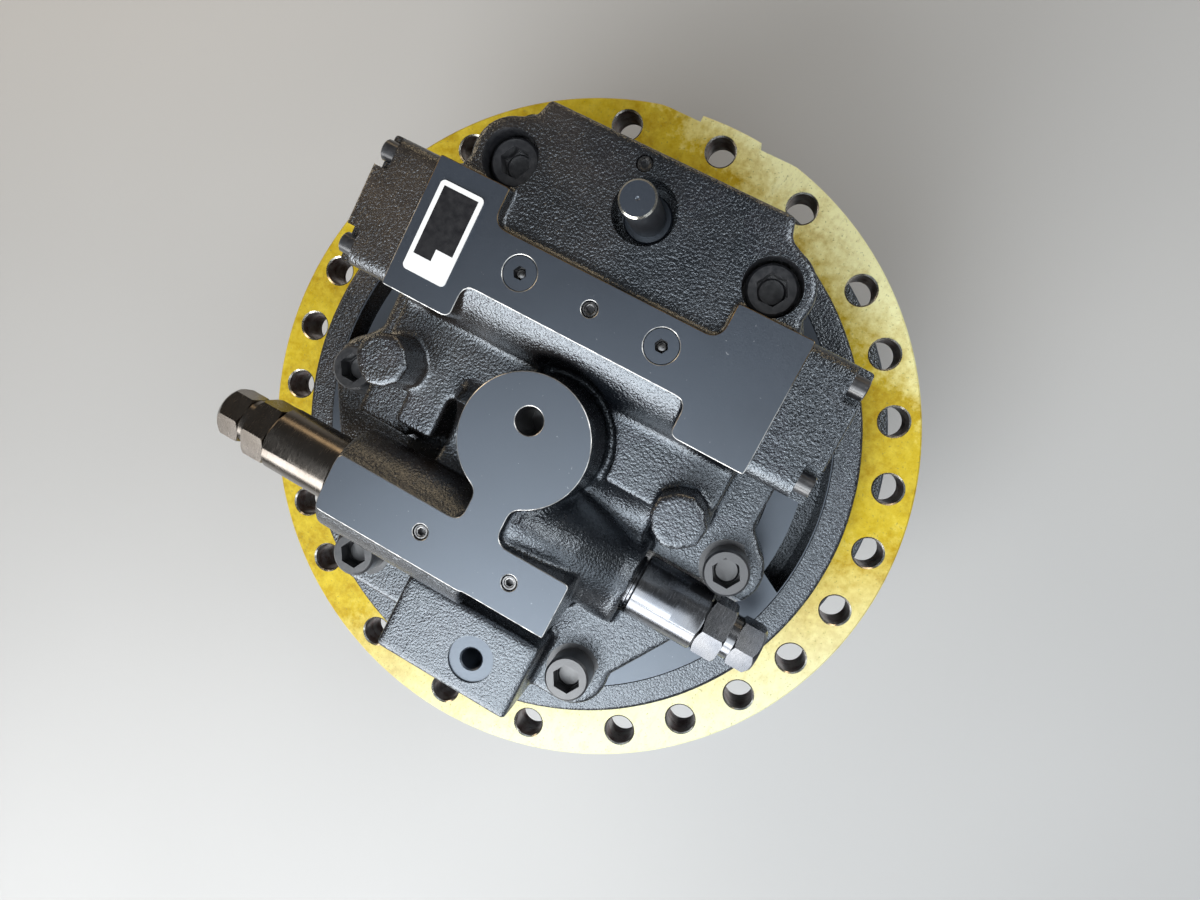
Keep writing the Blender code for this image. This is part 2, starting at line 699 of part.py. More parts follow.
def carrier(name, bottom, top, pin_end, bore_radius):
    """Three lobed plate with the planet pins standing below it."""
    outline = []
    lobe = PIN_RADIUS + CARRIER_RIM / 2
    for place in planet_places():
        centre = arc((0, 0), PLANET_CIRCLE, place, place, 1)[0]
        outline += arc(centre, lobe, place - 80, place + 80, 6)
        waist = arc((0, 0), PLANET_CIRCLE / 2 + CARRIER_RIM / 2, place + 60, place + 60, 1)[0]
        outline.append(waist)
    plate = prism(name, outline, bottom, top, machined_steel())
    for index, place in enumerate(planet_places()):
        centre = arc((0, 0), PLANET_CIRCLE, place, place, 1)[0]
        join(plate, rod(f"{name}_pin_{index}", centre, PIN_RADIUS, pin_end, bottom + GAP,
                        ROUND_SMALL, machined_steel()))
    bore = rod(f"{name}_bore", (0, 0), bore_radius, bottom - OVERRUN, top + OVERRUN, ROUND_SMALL,
               machined_steel())
    return cut(plate, bore)


def gear_train():
    for index, place in enumerate(planet_places()):
        planet(f"planet_gear_1_{index + 1}", place, STAGE_1_BOTTOM, STAGE_1_WIDTH)
        planet(f"planet_gear_2_{index + 1}", place, STAGE_2_BOTTOM, STAGE_2_WIDTH)
    hub_radius = SUN_TEETH * MODULE / 2 - DEDENDUM_SHARE * MODULE
    carrier("carrier_1", CARRIER_1_BOTTOM, CARRIER_1_TOP, STAGE_1_BOTTOM, hub_radius + GAP)
    carrier("carrier_2", CARRIER_2_BOTTOM, CARRIER_2_TOP, STAGE_2_BOTTOM, SHAFT_BEARING_RADIUS)
    sun_2 = prism("sun_gear_2", gear_outline(SUN_TEETH, sun_phase()), STAGE_2_BOTTOM, STAGE_2_TOP,
                  machined_steel())
    tail = rod("sun_gear_2_tail", (0, 0), hub_radius, CARRIER_1_BOTTOM, STAGE_2_BOTTOM + GAP,
               ROUND_SMALL, machined_steel())
    bore = rod("sun_gear_2_bore", (0, 0), SUN_2_BORE_RADIUS, CARRIER_1_BOTTOM - OVERRUN,
               STAGE_2_TOP + OVERRUN, ROUND_SMALL, machined_steel())
    cut(join(sun_2, tail), bore)
    sun_1 = prism("sun_gear_1", gear_outline(SUN_TEETH, sun_phase()), STAGE_1_BOTTOM, STAGE_1_TOP,
                  machined_steel())
    shaft = rod("sun_gear_1_shaft", (0, 0), SUN_SHAFT_RADIUS, STAGE_1_TOP - GAP, SPINDLE_END,
                ROUND_SMALL, machined_steel())
    join(sun_1, shaft)


def gear_cover():
    """Stepped cover that closes the gearbox; the drive stands on its flat face."""
    profile = [
        (0, 0), (COVER_FACE_RADIUS, 0), (COVER_FACE_RADIUS + COVER_STEP, COVER_STEP),
        (COVER_RIM_RADIUS, COVER_STEP), (COVER_RIM_RADIUS + COVER_STEP, COVER_RIM_STEP),
        (GEARBOX_RADIUS - COVER_STEP / 2, COVER_RIM_STEP),
        (GEARBOX_RADIUS, COVER_RIM_STEP + COVER_STEP / 2), (GEARBOX_RADIUS, RING_GEAR_BOTTOM),
        (0, RING_GEAR_BOTTOM)]
    cover = lathe("gear_cover", profile, ROUND_LARGE, black_paint())
    circle_radius = (COVER_RIM_RADIUS + COVER_STEP + GEARBOX_RADIUS) / 2
    heads = []
    for index in range(COVER_BOLTS):
        centre = arc((0, 0), circle_radius, 360 * (index + 0.5) / COVER_BOLTS, 0, 1)[0]
        heads.append(rod(f"cover_bolt_{index}", centre, COVER_BOLT_HEAD_RADIUS,
                         COVER_RIM_STEP - COVER_BOLT_HEAD_HEIGHT, COVER_RIM_STEP + GAP, 6, dark_steel()))
    join(cover, grouped("cover_bolts", heads))
    for index, side in enumerate((-1, 1)):
        centre = (side * OIL_PLUG_CIRCLE, 0)
        cut(cover, rod(f"oil_hole_{index}", centre, OIL_PLUG_STEM_RADIUS + GAP,
                       COVER_STEP - OVERRUN, COVER_STEP + OIL_PLUG_DEPTH + GAP, ROUND_HOLE, black_paint()))
        oil_plug(f"oil_plug_{index + 1}", centre)
    return cover


def oil_plug(name, centre):
    head_top = COVER_STEP - GAP
    head = rod(name, centre, OIL_PLUG_RADIUS, head_top - OIL_PLUG_HEAD_HEIGHT, head_top, ROUND_SMALL,
               dark_steel())
    stem = rod(f"{name}_stem", centre, OIL_PLUG_STEM_RADIUS, head_top - GAP,
               COVER_STEP + OIL_PLUG_DEPTH, ROUND_HOLE, dark_steel())
    socket = rod(f"{name}_socket", centre, OIL_PLUG_SOCKET_RADIUS, head_top - OIL_PLUG_HEAD_HEIGHT - OVERRUN,
                 head_top, 6, dark_steel())
    return cut(join(head, stem), socket)


def hub():
    """Rotating housing with the sprocket flange, bored for both main bearings."""
    flange_top = SPROCKET_FACE + SPROCKET_FLANGE_THICKNESS
    neck_top = RING_BOTTOM - HUB_RING_SPACE
    bore = BEARING_OUTER_RADIUS
    profile = [
        (BEARING_OUTER_RADIUS + RACE_THICKNESS, HUB_BOTTOM), (GEARBOX_RADIUS, HUB_BOTTOM),
        (GEARBOX_RADIUS, SPROCKET_FACE), (SPROCKET_FLANGE_RADIUS, SPROCKET_FACE),
        (SPROCKET_FLANGE_RADIUS, flange_top), (HUB_NECK_RADIUS, flange_top),
        (HUB_NECK_RADIUS, neck_top), (SEAL_OUTER_RADIUS + GAP, neck_top),
        (SEAL_OUTER_RADIUS + GAP, SEAL_BOTTOM), (bore, SEAL_BOTTOM), (bore, BEARING_2_BOTTOM),
        (bore - SEAL_LIP, BEARING_2_BOTTOM), (bore - SEAL_LIP, BEARING_1_BOTTOM + BEARING_WIDTH),
        (bore, BEARING_1_BOTTOM + BEARING_WIDTH), (bore, BEARING_1_BOTTOM - STAGE_SPACE)]
    housing = lathe("hub_housing", profile, ROUND_LARGE, black_paint())
    holes = []
    for index in range(SPROCKET_HOLES):
        centre = arc((0, 0), SPROCKET_HOLE_CIRCLE, 360 * index / SPROCKET_HOLES, 0, 1)[0]
        holes.append(rod(f"sprocket_hole_{index}", centre, SPROCKET_HOLE_RADIUS, SPROCKET_FACE - OVERRUN,
                         flange_top + OVERRUN, ROUND_TINY, black_paint()))
    return cut(housing, grouped("sprocket_holes", holes))


def race(name, inner, outer, bottom):
    low = bottom + GAP
    high = bottom + BEARING_WIDTH - GAP
    return lathe(name, [(inner, low), (outer, low), (outer, high), (inner, high)], ROUND_LARGE,
                 machined_steel())


def roller_cage(name, bottom):
    """Rollers in their cage: one ring whose outline swells at each roller."""
    inner = turning_bore(SPINDLE_RADIUS + RACE_THICKNESS, ROLLERS * 4)
    outer = (BEARING_OUTER_RADIUS - RACE_THICKNESS) * math.cos(math.pi / ROUND_LARGE) - GAP
    middle = (inner + outer) / 2
    roller = (outer - inner) / 2
    web = roller * ROLLER_WEB_SHARE
    outside = []
    inside = []
    step_deg = 360 / ROLLERS
    for index in range(ROLLERS):
        place = index * step_deg
        swell = math.degrees(roller / middle) * ROLLER_FILL_SHARE
        for offset, reach in ((-swell, web), (-swell / 2, roller), (swell / 2, roller), (swell, web)):
            angle = math.radians(place + offset)
            outside.append(((middle + reach) * math.cos(angle), (middle + reach) * math.sin(angle)))
            inside.append(((middle - reach) * math.cos(angle), (middle - reach) * math.sin(angle)))
    spare = BEARING_WIDTH * (1 - ROLLER_LENGTH_SHARE) / 2
    low = bottom + spare
    high = bottom + BEARING_WIDTH - spare
    cage = prism(name, outside, low, high, machined_steel())
    return cut(cage, prism(f"{name}_inside", inside, low - OVERRUN, high + OVERRUN, machined_steel()))


def bearings_and_seal():
    for index, bottom in enumerate((BEARING_1_BOTTOM, BEARING_2_BOTTOM)):
        race(f"bearing_inner_race_{index + 1}", SPINDLE_RADIUS + GAP, SPINDLE_RADIUS + RACE_THICKNESS, bottom)
        race(f"bearing_outer_race_{index + 1}", BEARING_OUTER_RADIUS - RACE_THICKNESS,
             BEARING_OUTER_RADIUS - GAP, bottom)
        roller_cage(f"roller_cage_{index + 1}", bottom)
    inner = SPINDLE_SHOULDER_RADIUS + GAP
    outer = SEAL_OUTER_RADIUS
    hub_top = SEAL_BOTTOM + SEAL_RING_HEIGHT
    lathe("seal_ring_hub", [(inner + SEAL_LIP, SEAL_BOTTOM + GAP), (outer, SEAL_BOTTOM + GAP),
                            (outer, hub_top - SEAL_LIP / 2), (outer - SEAL_LIP, hub_top),
                            (inner + SEAL_LIP, hub_top)], ROUND_LARGE, dark_steel())
    frame_low = hub_top + GAP
    lathe("seal_ring_frame", [(inner, frame_low), (outer - SEAL_LIP, frame_low),
                              (outer - SEAL_LIP / 2, frame_low + SEAL_LIP / 2),
                              (outer - SEAL_LIP / 2, RING_BOTTOM - GAP), (inner, RING_BOTTOM - GAP)],
          ROUND_LARGE, dark_steel())


def motor_group():
    """Shaft, cylinder block, pistons, swash plate, valve plate and the disc brake."""
    collar_top = SLIPPER_BOTTOM - SLIPPER_HEIGHT
    shaft = lathe("drive_shaft", [
        (0, SPINDLE_END + GAP), (SHAFT_RADIUS, SPINDLE_END + GAP), (SHAFT_RADIUS, CAVITY_FLOOR + GAP),
        (SHAFT_COLLAR_RADIUS, CAVITY_FLOOR + GAP), (SHAFT_COLLAR_RADIUS, collar_top),
        (SHAFT_RADIUS, collar_top), (SHAFT_RADIUS, SHAFT_END), (0, SHAFT_END)],
        ROUND_SMALL, machined_steel())
    block = rod("cylinder_block", (0, 0), BLOCK_RADIUS, BLOCK_BOTTOM, BLOCK_TOP, ROUND_MEDIUM,
                machined_steel())
    bores = [rod("shaft_bore", (0, 0), SHAFT_RADIUS + GAP, BLOCK_BOTTOM - OVERRUN, BLOCK_TOP + OVERRUN,
                 ROUND_SMALL, machined_steel())]
    retainer = rod("piston_set", (0, 0), PISTON_CIRCLE + SLIPPER_RADIUS, SLIPPER_BOTTOM + SLIPPER_HEIGHT,
                   SLIPPER_BOTTOM + SLIPPER_HEIGHT + RETAINER_THICKNESS, ROUND_MEDIUM, bronze())
    pistons = []
    for index in range(PISTONS):
        centre = arc((0, 0), PISTON_CIRCLE, 360 * index / PISTONS, 0, 1)[0]
        bores.append(rod(f"piston_bore_{index}", centre, PISTON_RADIUS + GAP, BLOCK_BOTTOM - OVERRUN,
                         BLOCK_BOTTOM + PISTON_LENGTH, ROUND_TINY, machined_steel()))
        pistons.append(rod(f"piston_{index}", centre, PISTON_RADIUS, SLIPPER_BOTTOM,
                           SLIPPER_BOTTOM + PISTON_LENGTH, ROUND_TINY, bronze()))
    cut(block, grouped("block_bores", bores))
    join(retainer, grouped("pistons", pistons))
    cut(retainer, rod("retainer_bore", (0, 0), SHAFT_COLLAR_RADIUS + GAP, SLIPPER_BOTTOM - OVERRUN,
                      BLOCK_BOTTOM + OVERRUN, ROUND_SMALL, bronze()))
    swash_plate()
    tilt_piston()
    shaft_bearings()
    valve_plate()
    brake()
    return shaft


def swash_plate():
    """Tilting disc on two half round lugs, modelled level and then tilted about its pivot."""
    steel = machined_steel()
    plate = rod("swash_plate", (0, 0), SWASH_RADIUS, -SWASH_THICKNESS, 0, ROUND_MEDIUM, steel)
    half_round = arc((0, 0), SWASH_LUG_RADIUS, 180, 360, 8)
    lugs = []
    for side in (-1, 1):
        near, far = sorted((side * SWASH_LUG_PLACE, side * (SWASH_LUG_PLACE + SWASH_LUG_WIDTH)))
        level = [(y, z - GAP) for y, z in half_round]
        lugs.append(prism_along_x(f"swash_lug_{side}", level, near, far, steel))
    bore = rod("swash_bore", (0, 0), SWASH_BORE_RADIUS, -SWASH_THICKNESS - OVERRUN, OVERRUN,
               ROUND_SMALL, steel)
    lug_group = grouped("swash_lugs", lugs)
    cut(join(plate, lug_group), bore)
    for guide in (lug_group, bore):
        parent_to(guide, plate)
    plate.location = (0, 0, SWASH_PIVOT)
    plate.rotation_euler = (math.radians(SWASH_ANGLE_DEG), 0, 0)
    return plate


def swash_cradles():
    """Seats on the floor of the case in which the swash plate's lugs roll."""
    seats = []
    for side in (-1, 1):
        near, far = sorted((side * SWASH_LUG_PLACE, side * (SWASH_LUG_PLACE + SWASH_LUG_WIDTH)))
        seats.append(box(f"cradle_{side}", (near, -CRADLE_HALF_WIDTH, CAVITY_FLOOR - OVERRUN),
                         (far, CRADLE_HALF_WIDTH, SWASH_PIVOT - CRADLE_DEPTH), black_paint()))
    seat = grouped("cradles", seats)
    roll = circle((0, SWASH_PIVOT), turning_bore(SWASH_LUG_RADIUS, ROUND_MEDIUM), ROUND_MEDIUM)
    reach = SWASH_LUG_PLACE + SWASH_LUG_WIDTH + OVERRUN
    return cut(seat, prism_along_x("cradle_roll", roll, -reach, reach, black_paint()))


def tilt_piston():
    """Small piston in the floor of the case that pushes the swash plate flatter."""
    tilt = math.radians(SWASH_ANGLE_DEG)
    under = SWASH_PIVOT - SWASH_THICKNESS / math.cos(tilt)
    near_edge = TILT_PISTON_Y - TILT_PISTON_RADIUS
    top = under + near_edge * math.tan(tilt) - GAP
    return rod("tilt_piston", (0, TILT_PISTON_Y), TILT_PISTON_RADIUS, CAVITY_FLOOR - TILT_PISTON_SINK,
               top, ROUND_SMALL, machined_steel())


def shaft_bearings():
    """Needle bearings that carry the drive shaft at both ends."""
    for name, low in (("shaft_bearing_front", CAVITY_FLOOR - SHAFT_BEARING_WIDTH),
                      ("shaft_bearing_rear", FLANGE_BOTTOM + GAP)):
        high = low + SHAFT_BEARING_WIDTH - 2 * GAP
        bore = turning_bore(SHAFT_RADIUS, ROUND_MEDIUM)
        seat = SHAFT_BEARING_RADIUS - GAP
        lathe(name, [(bore, low), (seat, low), (seat, high), (bore, high)], ROUND_MEDIUM,
              machined_steel())


def valve_plate():
    bore = turning_bore(SHAFT_RADIUS, ROUND_MEDIUM)
    plate = lathe("valve_plate", [
        (bore, VALVE_PLATE_BOTTOM), (BLOCK_RADIUS, VALVE_PLATE_BOTTOM), (BLOCK_RADIUS, CASE_TOP),
        (bore, CASE_TOP)], ROUND_MEDIUM, bronze())
    slots = []
    for index, middle in enumerate((0, 180)):
        half = VALVE_SLOT_SPAN_DEG
        outer = arc((0, 0), PISTON_CIRCLE + VALVE_SLOT_WIDTH / 2, middle - half, middle + half, 6)
        inner = arc((0, 0), PISTON_CIRCLE - VALVE_SLOT_WIDTH / 2, middle + half, middle - half, 6)
        slots.append(prism(f"valve_slot_{index}", outer + inner, VALVE_PLATE_BOTTOM - OVERRUN,
                           CASE_TOP + OVERRUN, bronze()))
    return cut(plate, grouped("valve_slots", slots))


def brake():
    """Two lined discs on the block, a steel plate between them, the piston and its disc spring."""
    outer = BRAKE_CAVITY_RADIUS - GAP
    inner = BLOCK_RADIUS + GAP
    step = BRAKE_DISC_THICKNESS + GAP
    names = ("friction_disc_1", "separator_plate", "friction_disc_2")
    finishes = (bronze(), machined_steel(), bronze())
    for index, (name, material) in enumerate(zip(names, finishes)):
        low = BRAKE_STACK_BOTTOM + index * step
        high = low + BRAKE_DISC_THICKNESS
        turning = name.startswith("friction")
        near = inner if turning else inner + OVERRUN / 2
        far = outer - OVERRUN / 2 if turning else outer
        lathe(name, [(near, low), (far, low), (far, high), (near, high)], ROUND_MEDIUM, material)
    piston_inner = inner + OVERRUN / 2
    lathe("brake_piston", [(piston_inner, BRAKE_PISTON_BOTTOM), (outer, BRAKE_PISTON_BOTTOM),
                           (outer, BRAKE_PISTON_TOP), (piston_inner, BRAKE_PISTON_TOP)],
          ROUND_MEDIUM, machined_steel())
    low = BRAKE_SPRING_BOTTOM
    thick = BRAKE_SPRING_THICKNESS
    lathe("brake_spring", [(piston_inner + GAP, low), (outer - GAP, CASE_TOP - thick),
                           (outer - GAP, CASE_TOP), (piston_inner + GAP, low + thick)],
          ROUND_MEDIUM, dark_steel())


def base_outline():
    """Foot of the rear flange: straight runs between the pads of the six bolts."""
    radius = BOLT_PAD_RADIUS
    right = []
    right += arc((BOLT_X[2], BOLT_Y[2]), radius, -90, 20, 6)
    right += arc((BOLT_X[1], BOLT_Y[1]), radius, -40, 60, 6)
    right.append((BASE_SIDE_X, BASE_SIDE_LOW_Y))
    right.append((BASE_SIDE_X, SPOOL_Y))
    right += arc((BOLT_X[0], BOLT_Y[0]), radius, 0, 80, 5)
    right.append((PLATE_HALF_WIDTH, PLATE_TOP_Y))
    return right + [(-x, y) for x, y in reversed(right)]


def plate_outline():
    """Cast top plate with a round pad about each of its two bolts."""
    radius = BOLT_PAD_RADIUS
    right = [(SPOOL_BLOCK_HALF_LENGTH - OVERRUN, SPOOL_BLOCK_HIGH_Y - OVERRUN)]
    right += arc((BOLT_X[0], BOLT_Y[0]), radius, -20, 75, 7)
    right.append((PLATE_HALF_WIDTH + OVERRUN, PLATE_TOP_Y - radius / 2))
    right.append((PLATE_HALF_WIDTH, PLATE_TOP_Y))
    return right + [(-x, y) for x, y in reversed(right)]


def valve_face_outline():
    """Milled face: the disc, the block of the left valve, and the neck whose fillets roll on the disc."""
    fillet = POCKET_FILLET
    neck = NECK_HALF_WIDTH
    high = VALVE_BLOCK_HIGH_Y
    reach = DISC_RADIUS + fillet
    upper = -math.sqrt(reach ** 2 - (neck + fillet) ** 2)
    lean = math.degrees(math.atan2(-upper, neck + fillet))
    lower = high + fillet
    right = [(VALVE_BLOCK_RIGHT, VALVE_BLOCK_LOW_Y), (VALVE_BLOCK_RIGHT, high)]
    right += arc((neck + fillet, lower), fillet, 270, 180, 3)
    right += arc((neck + fillet, upper), fillet, 180, 180 - lean, 3)
    right += arc((0, 0), DISC_RADIUS, -lean, 90, 12)[1:]
    left = arc((0, 0), DISC_RADIUS, 90, 180 + lean, 12)[1:-1]
    left += arc((-neck - fillet, upper), fillet, lean, 0, 3)
    left += arc((-neck - fillet, lower), fillet, 0, -90, 3)
    left += [(VALVE_BLOCK_LEFT, high), (VALVE_BLOCK_LEFT, VALVE_BLOCK_LOW_Y)]
    return right + left


def cut_level_deg(radius, rise, level):
    """Angle at which a level meets a round section whose middle lies at a rise."""
    return math.degrees(math.asin(min(1, max(-1, (level - rise) / radius))))


def flattened_tube(name, radius, y, rise, start, end, top_rise, floor_rise):
    """Round casting along X, flat where the milled face and the foot meet it."""
    low = cut_level_deg(radius, rise, floor_rise)
    high = cut_level_deg(radius, rise, top_rise)
    centre = (y, RING_FACE + rise)
    section = arc(centre, radius, low, high, 6) + arc(centre, radius, 180 - high, 180 - low, 6)
    return prism_along_x(name, section, start, end, black_paint())


def shoulder_section(reach, height):
    """Quarter of a flattened round over the right valve's axis, on the spool's side."""
    centre = (RIGHT_VALVE_Y, RING_FACE + RIGHT_VALVE_RISE)
    turns = [math.pi * step / SHOULDER_STEPS / 2 for step in range(SHOULDER_STEPS + 1)]
    section = [(centre[0] + reach * math.cos(turn), centre[1] + height * math.sin(turn)) for turn in turns]
    wall = VALVE_BLOCK_HIGH_Y - OVERRUN
    return section + [(wall, section[-1][1]), (wall, centre[1])]


def right_shoulder():
    """Mass that swells from the right valve's casting up to the neck of the milled face."""
    end_radius = RIGHT_CAST_RADIUS * RIGHT_CAST_FLOOR_SHARE
    return prism_along_x("right_shoulder", shoulder_section(SHOULDER_REACH, SHOULDER_HEIGHT), GAP,
                         VALVE_BLOCK_RIGHT - GAP, black_paint(), shoulder_section(end_radius, end_radius))


def spool_casting():
    """Bar over the spool's bore: round towards the disc, upright towards the top plate."""
    low = cut_level_deg(SPOOL_CAST_RADIUS, SPOOL_RISE, SEAT_RISE - OVERRUN)
    high = cut_level_deg(SPOOL_CAST_RADIUS, SPOOL_RISE, FACE_RISE)
    section = arc((SPOOL_Y, RING_FACE + SPOOL_RISE), SPOOL_CAST_RADIUS, 180 - low, 180 - high, 9)
    section += [(SPOOL_BAR_HIGH_Y, RING_FACE + FACE_RISE), (SPOOL_BAR_HIGH_Y, section[0][1])]
    reach = SPOOL_COLUMN_X + OVERRUN
    return prism_along_x("spool_casting", section, -reach, reach, black_paint())


def moat():
    """Channel round the upper right of the disc."""
    sector = [(0, 0)] + arc((0, 0), MOAT_RADIUS, MOAT_START_DEG, MOAT_END_DEG, 14)
    return prism("moat", sector, RING_FACE + FACE_RISE - MOAT_STEP, RING_FACE + FACE_RISE + OVERRUN,
                 black_paint())


def flange_block(name, low_x, high_x, low_y, high_y, top_rise):
    """Upright part of the casting, from the foot to its own height."""
    return box(name, (low_x, low_y, FLANGE_BOTTOM + GAP), (high_x, high_y, RING_FACE + top_rise),
               black_paint())


def bore_along_x(name, radius, y, rise, start, end, segments):
    tool = rod(name, (0, 0), radius, start, end, segments, black_paint())
    return turn_outwards(lay_along_x(tool, y, RING_FACE + rise))


def flange_castings():
    """Upright and round masses of the casting that stand round the disc."""
    paint = black_paint()
    half = SPOOL_BLOCK_HALF_LENGTH
    column = SPOOL_COLUMN_X
    shelf = CAST_SHELF_RIGHT_Y
    right_reach = RIGHT_CAST_RADIUS * RIGHT_CAST_TOP_SHARE
    right_floor = RIGHT_CAST_RADIUS * RIGHT_CAST_FLOOR_SHARE
    return [
        prism("top_plate", plate_outline(), FLANGE_BOTTOM + GAP, RING_FACE + PLATE_RISE, paint),
        flange_block("left_column", -half, -column, SPOOL_BLOCK_LOW_Y, SPOOL_BLOCK_HIGH_Y, FACE_RISE),
        flange_block("right_column", column, half, SPOOL_BLOCK_LOW_Y, SPOOL_BLOCK_HIGH_Y, FACE_RISE),
        spool_casting(),
        flange_block("spool_foot", -column - OVERRUN, column + OVERRUN, SPOOL_Y,
                     SPOOL_BLOCK_HIGH_Y - GAP, SPOOL_RISE),
        flange_block("shelf", -half + GAP, half - GAP, shelf, SPOOL_Y, CAST_RISE),
        flange_block("left_shelf", SHELF_BACK_STEP_X, CAST_SHELF_STEP_X, CAST_SHELF_LEFT_Y,
                     shelf + OVERRUN, CAST_RISE),
        flange_block("left_web", WEB_LEFT_X, GAP, VALVE_BLOCK_HIGH_Y - OVERRUN, shelf + 2 * OVERRUN,
                     FACE_RISE - LEFT_WEB_STEP),
        flange_block("right_web", WEB_RIGHT_X - OVERRUN, RIGHT_CAST_END - OVERRUN, RIGHT_VALVE_Y,
                     shelf + 2 * OVERRUN, FACE_RISE - RIGHT_WEB_STEP),
        flange_block("left_boss_foot", BOSS_FOOT_LEFT_X, SHELF_BACK_STEP_X + OVERRUN, BOSS_FOOT_LOW_Y,
                     BOSS_Y, FACE_RISE - BOSS_FOOT_STEP),
        flange_block("valve_block_foot", VALVE_BLOCK_LEFT + OVERRUN, VALVE_BLOCK_RIGHT - OVERRUN,
                     VALVE_BLOCK_LOW_Y - OVERRUN, VALVE_BLOCK_HIGH_Y + OVERRUN, LEFT_VALVE_RISE),
        flattened_tube("right_valve_casting", RIGHT_CAST_RADIUS, RIGHT_VALVE_Y, RIGHT_VALVE_RISE,
                       GAP, RIGHT_CAST_END, RIGHT_VALVE_RISE + right_reach, RIGHT_VALVE_RISE - right_floor),
        right_shoulder(),
        flange_block("drain_pad", DRAIN_PAD_LEFT, DRAIN_PAD_RIGHT, DRAIN_PAD_LOW_Y, DRAIN_PAD_HIGH_Y,
                     PAD_RISE)]


def flange_faces():
    """Masses that reach the milled face: the disc with the left valve's block, and both bosses."""
    paint = black_paint()
    face = RING_FACE + FACE_RISE
    faces = [
        prism("valve_face", valve_face_outline(), FLANGE_BOTTOM + GAP, face - GAP, paint),
        flattened_tube("left_valve_casting", LEFT_CAST_RADIUS, LEFT_VALVE_Y, LEFT_VALVE_RISE,
                       VALVE_BLOCK_LEFT - GAP, VALVE_BLOCK_RIGHT - GAP, FACE_RISE,
                       LEFT_VALVE_RISE - LEFT_CAST_RADIUS / 2)]
    for side in (-1, 1):
        faces.append(rod(f"boss_{side}", (side * BOSS_X, BOSS_Y), BOSS_RADIUS + BOSS_DRAFT,
                         FLANGE_BOTTOM + 2 * GAP, face, ROUND_SMALL, paint, BOSS_RADIUS))
    return faces


def rear_flange():
    """Cast manifold that closes the motor and carries the valves."""
    flange = prism("rear_flange", base_outline(), FLANGE_BOTTOM, RING_FACE + SEAT_RISE, black_paint())
    join(flange, *flange_castings())
    cut(flange, moat())
    join(flange, *flange_faces())
    return cut(flange, *rear_flange_bores())


def rear_flange_bores():
    paint = black_paint()
    face = RING_FACE + FACE_RISE
    plate = RING_FACE + PLATE_RISE
    pad = RING_FACE + PAD_RISE
    tools = [bolt_holes("flange_bolt_holes")]
    upright = []
    for x, y, seat in bolt_places()[:2]:
        upright.append(rod(f"bolt_seat_{x > 0}", (x, y), TOP_SEAT_RADIUS, seat, plate + OVERRUN,
                           ROUND_SMALL, paint))
    upright.append(rod("pin_seat", (PIN_X, PIN_Y), PIN_SEAT_RADIUS, plate - PIN_SEAT_DEPTH,
                       plate + OVERRUN, ROUND_SMALL, paint))
    upright.append(rod("disc_port", (DISC_PORT_X, DISC_PORT_Y), DISC_PORT_RADIUS, face - DISC_PORT_DEPTH,
                       face + OVERRUN, ROUND_SMALL, paint))
    drain = lathe("drain_bore", [
        (0, pad - DRAIN_BORE_DEPTH), (DRAIN_BORE_RADIUS, pad - DRAIN_BORE_DEPTH),
        (DRAIN_BORE_RADIUS, pad - DRAIN_FACE_DEPTH), (DRAIN_FACE_RADIUS, pad - DRAIN_FACE_DEPTH),
        (DRAIN_FACE_RADIUS, pad + OVERRUN), (0, pad + OVERRUN)], ROUND_SMALL, paint)
    upright.append(moved(drain, DRAIN_X, DRAIN_Y))
    upright.append(rod("shaft_end_bore", (0, 0), SHAFT_BEARING_RADIUS, FLANGE_BOTTOM - OVERRUN,
                       SHAFT_END + GAP, ROUND_MEDIUM, paint))
    for name, centre, top, radius in plug_places():
        upright.append(rod(f"{name}_hole", centre, radius + GAP, top - PLUG_DEPTH - GAP, top + OVERRUN,
                           ROUND_SMALL, paint))
    tools.append(grouped("upright_bores", upright))
    half = SPOOL_BLOCK_HALF_LENGTH
    tools.append(bore_along_x("spool_bore", SPOOL_BORE_RADIUS, SPOOL_Y, SPOOL_RISE, -half - OVERRUN,
                              half + OVERRUN, ROUND_SMALL))
    thread = VALVE_THREAD_RADIUS + GAP
    reach = VALVE_THREAD_LENGTH + GAP
    clearance = VALVE_BODY_RADIUS + OVERRUN / 2
    sideways = [
        bore_along_x("left_valve_bore", thread, LEFT_VALVE_Y, LEFT_VALVE_RISE,
                     VALVE_BLOCK_LEFT - OVERRUN, VALVE_BLOCK_LEFT + reach, ROUND_MEDIUM),
        bore_along_x("right_valve_bore", thread, RIGHT_VALVE_Y, RIGHT_VALVE_RISE,
                     RIGHT_CAST_END - reach, RIGHT_CAST_END - GAP, ROUND_MEDIUM),
        bore_along_x("right_valve_clearance", clearance, RIGHT_VALVE_Y, RIGHT_VALVE_RISE,
                     RIGHT_CAST_END - 2 * GAP, RING_RADIUS, ROUND_MEDIUM)]
    tools += sideways
    tools.append(main_ports())
    return tools


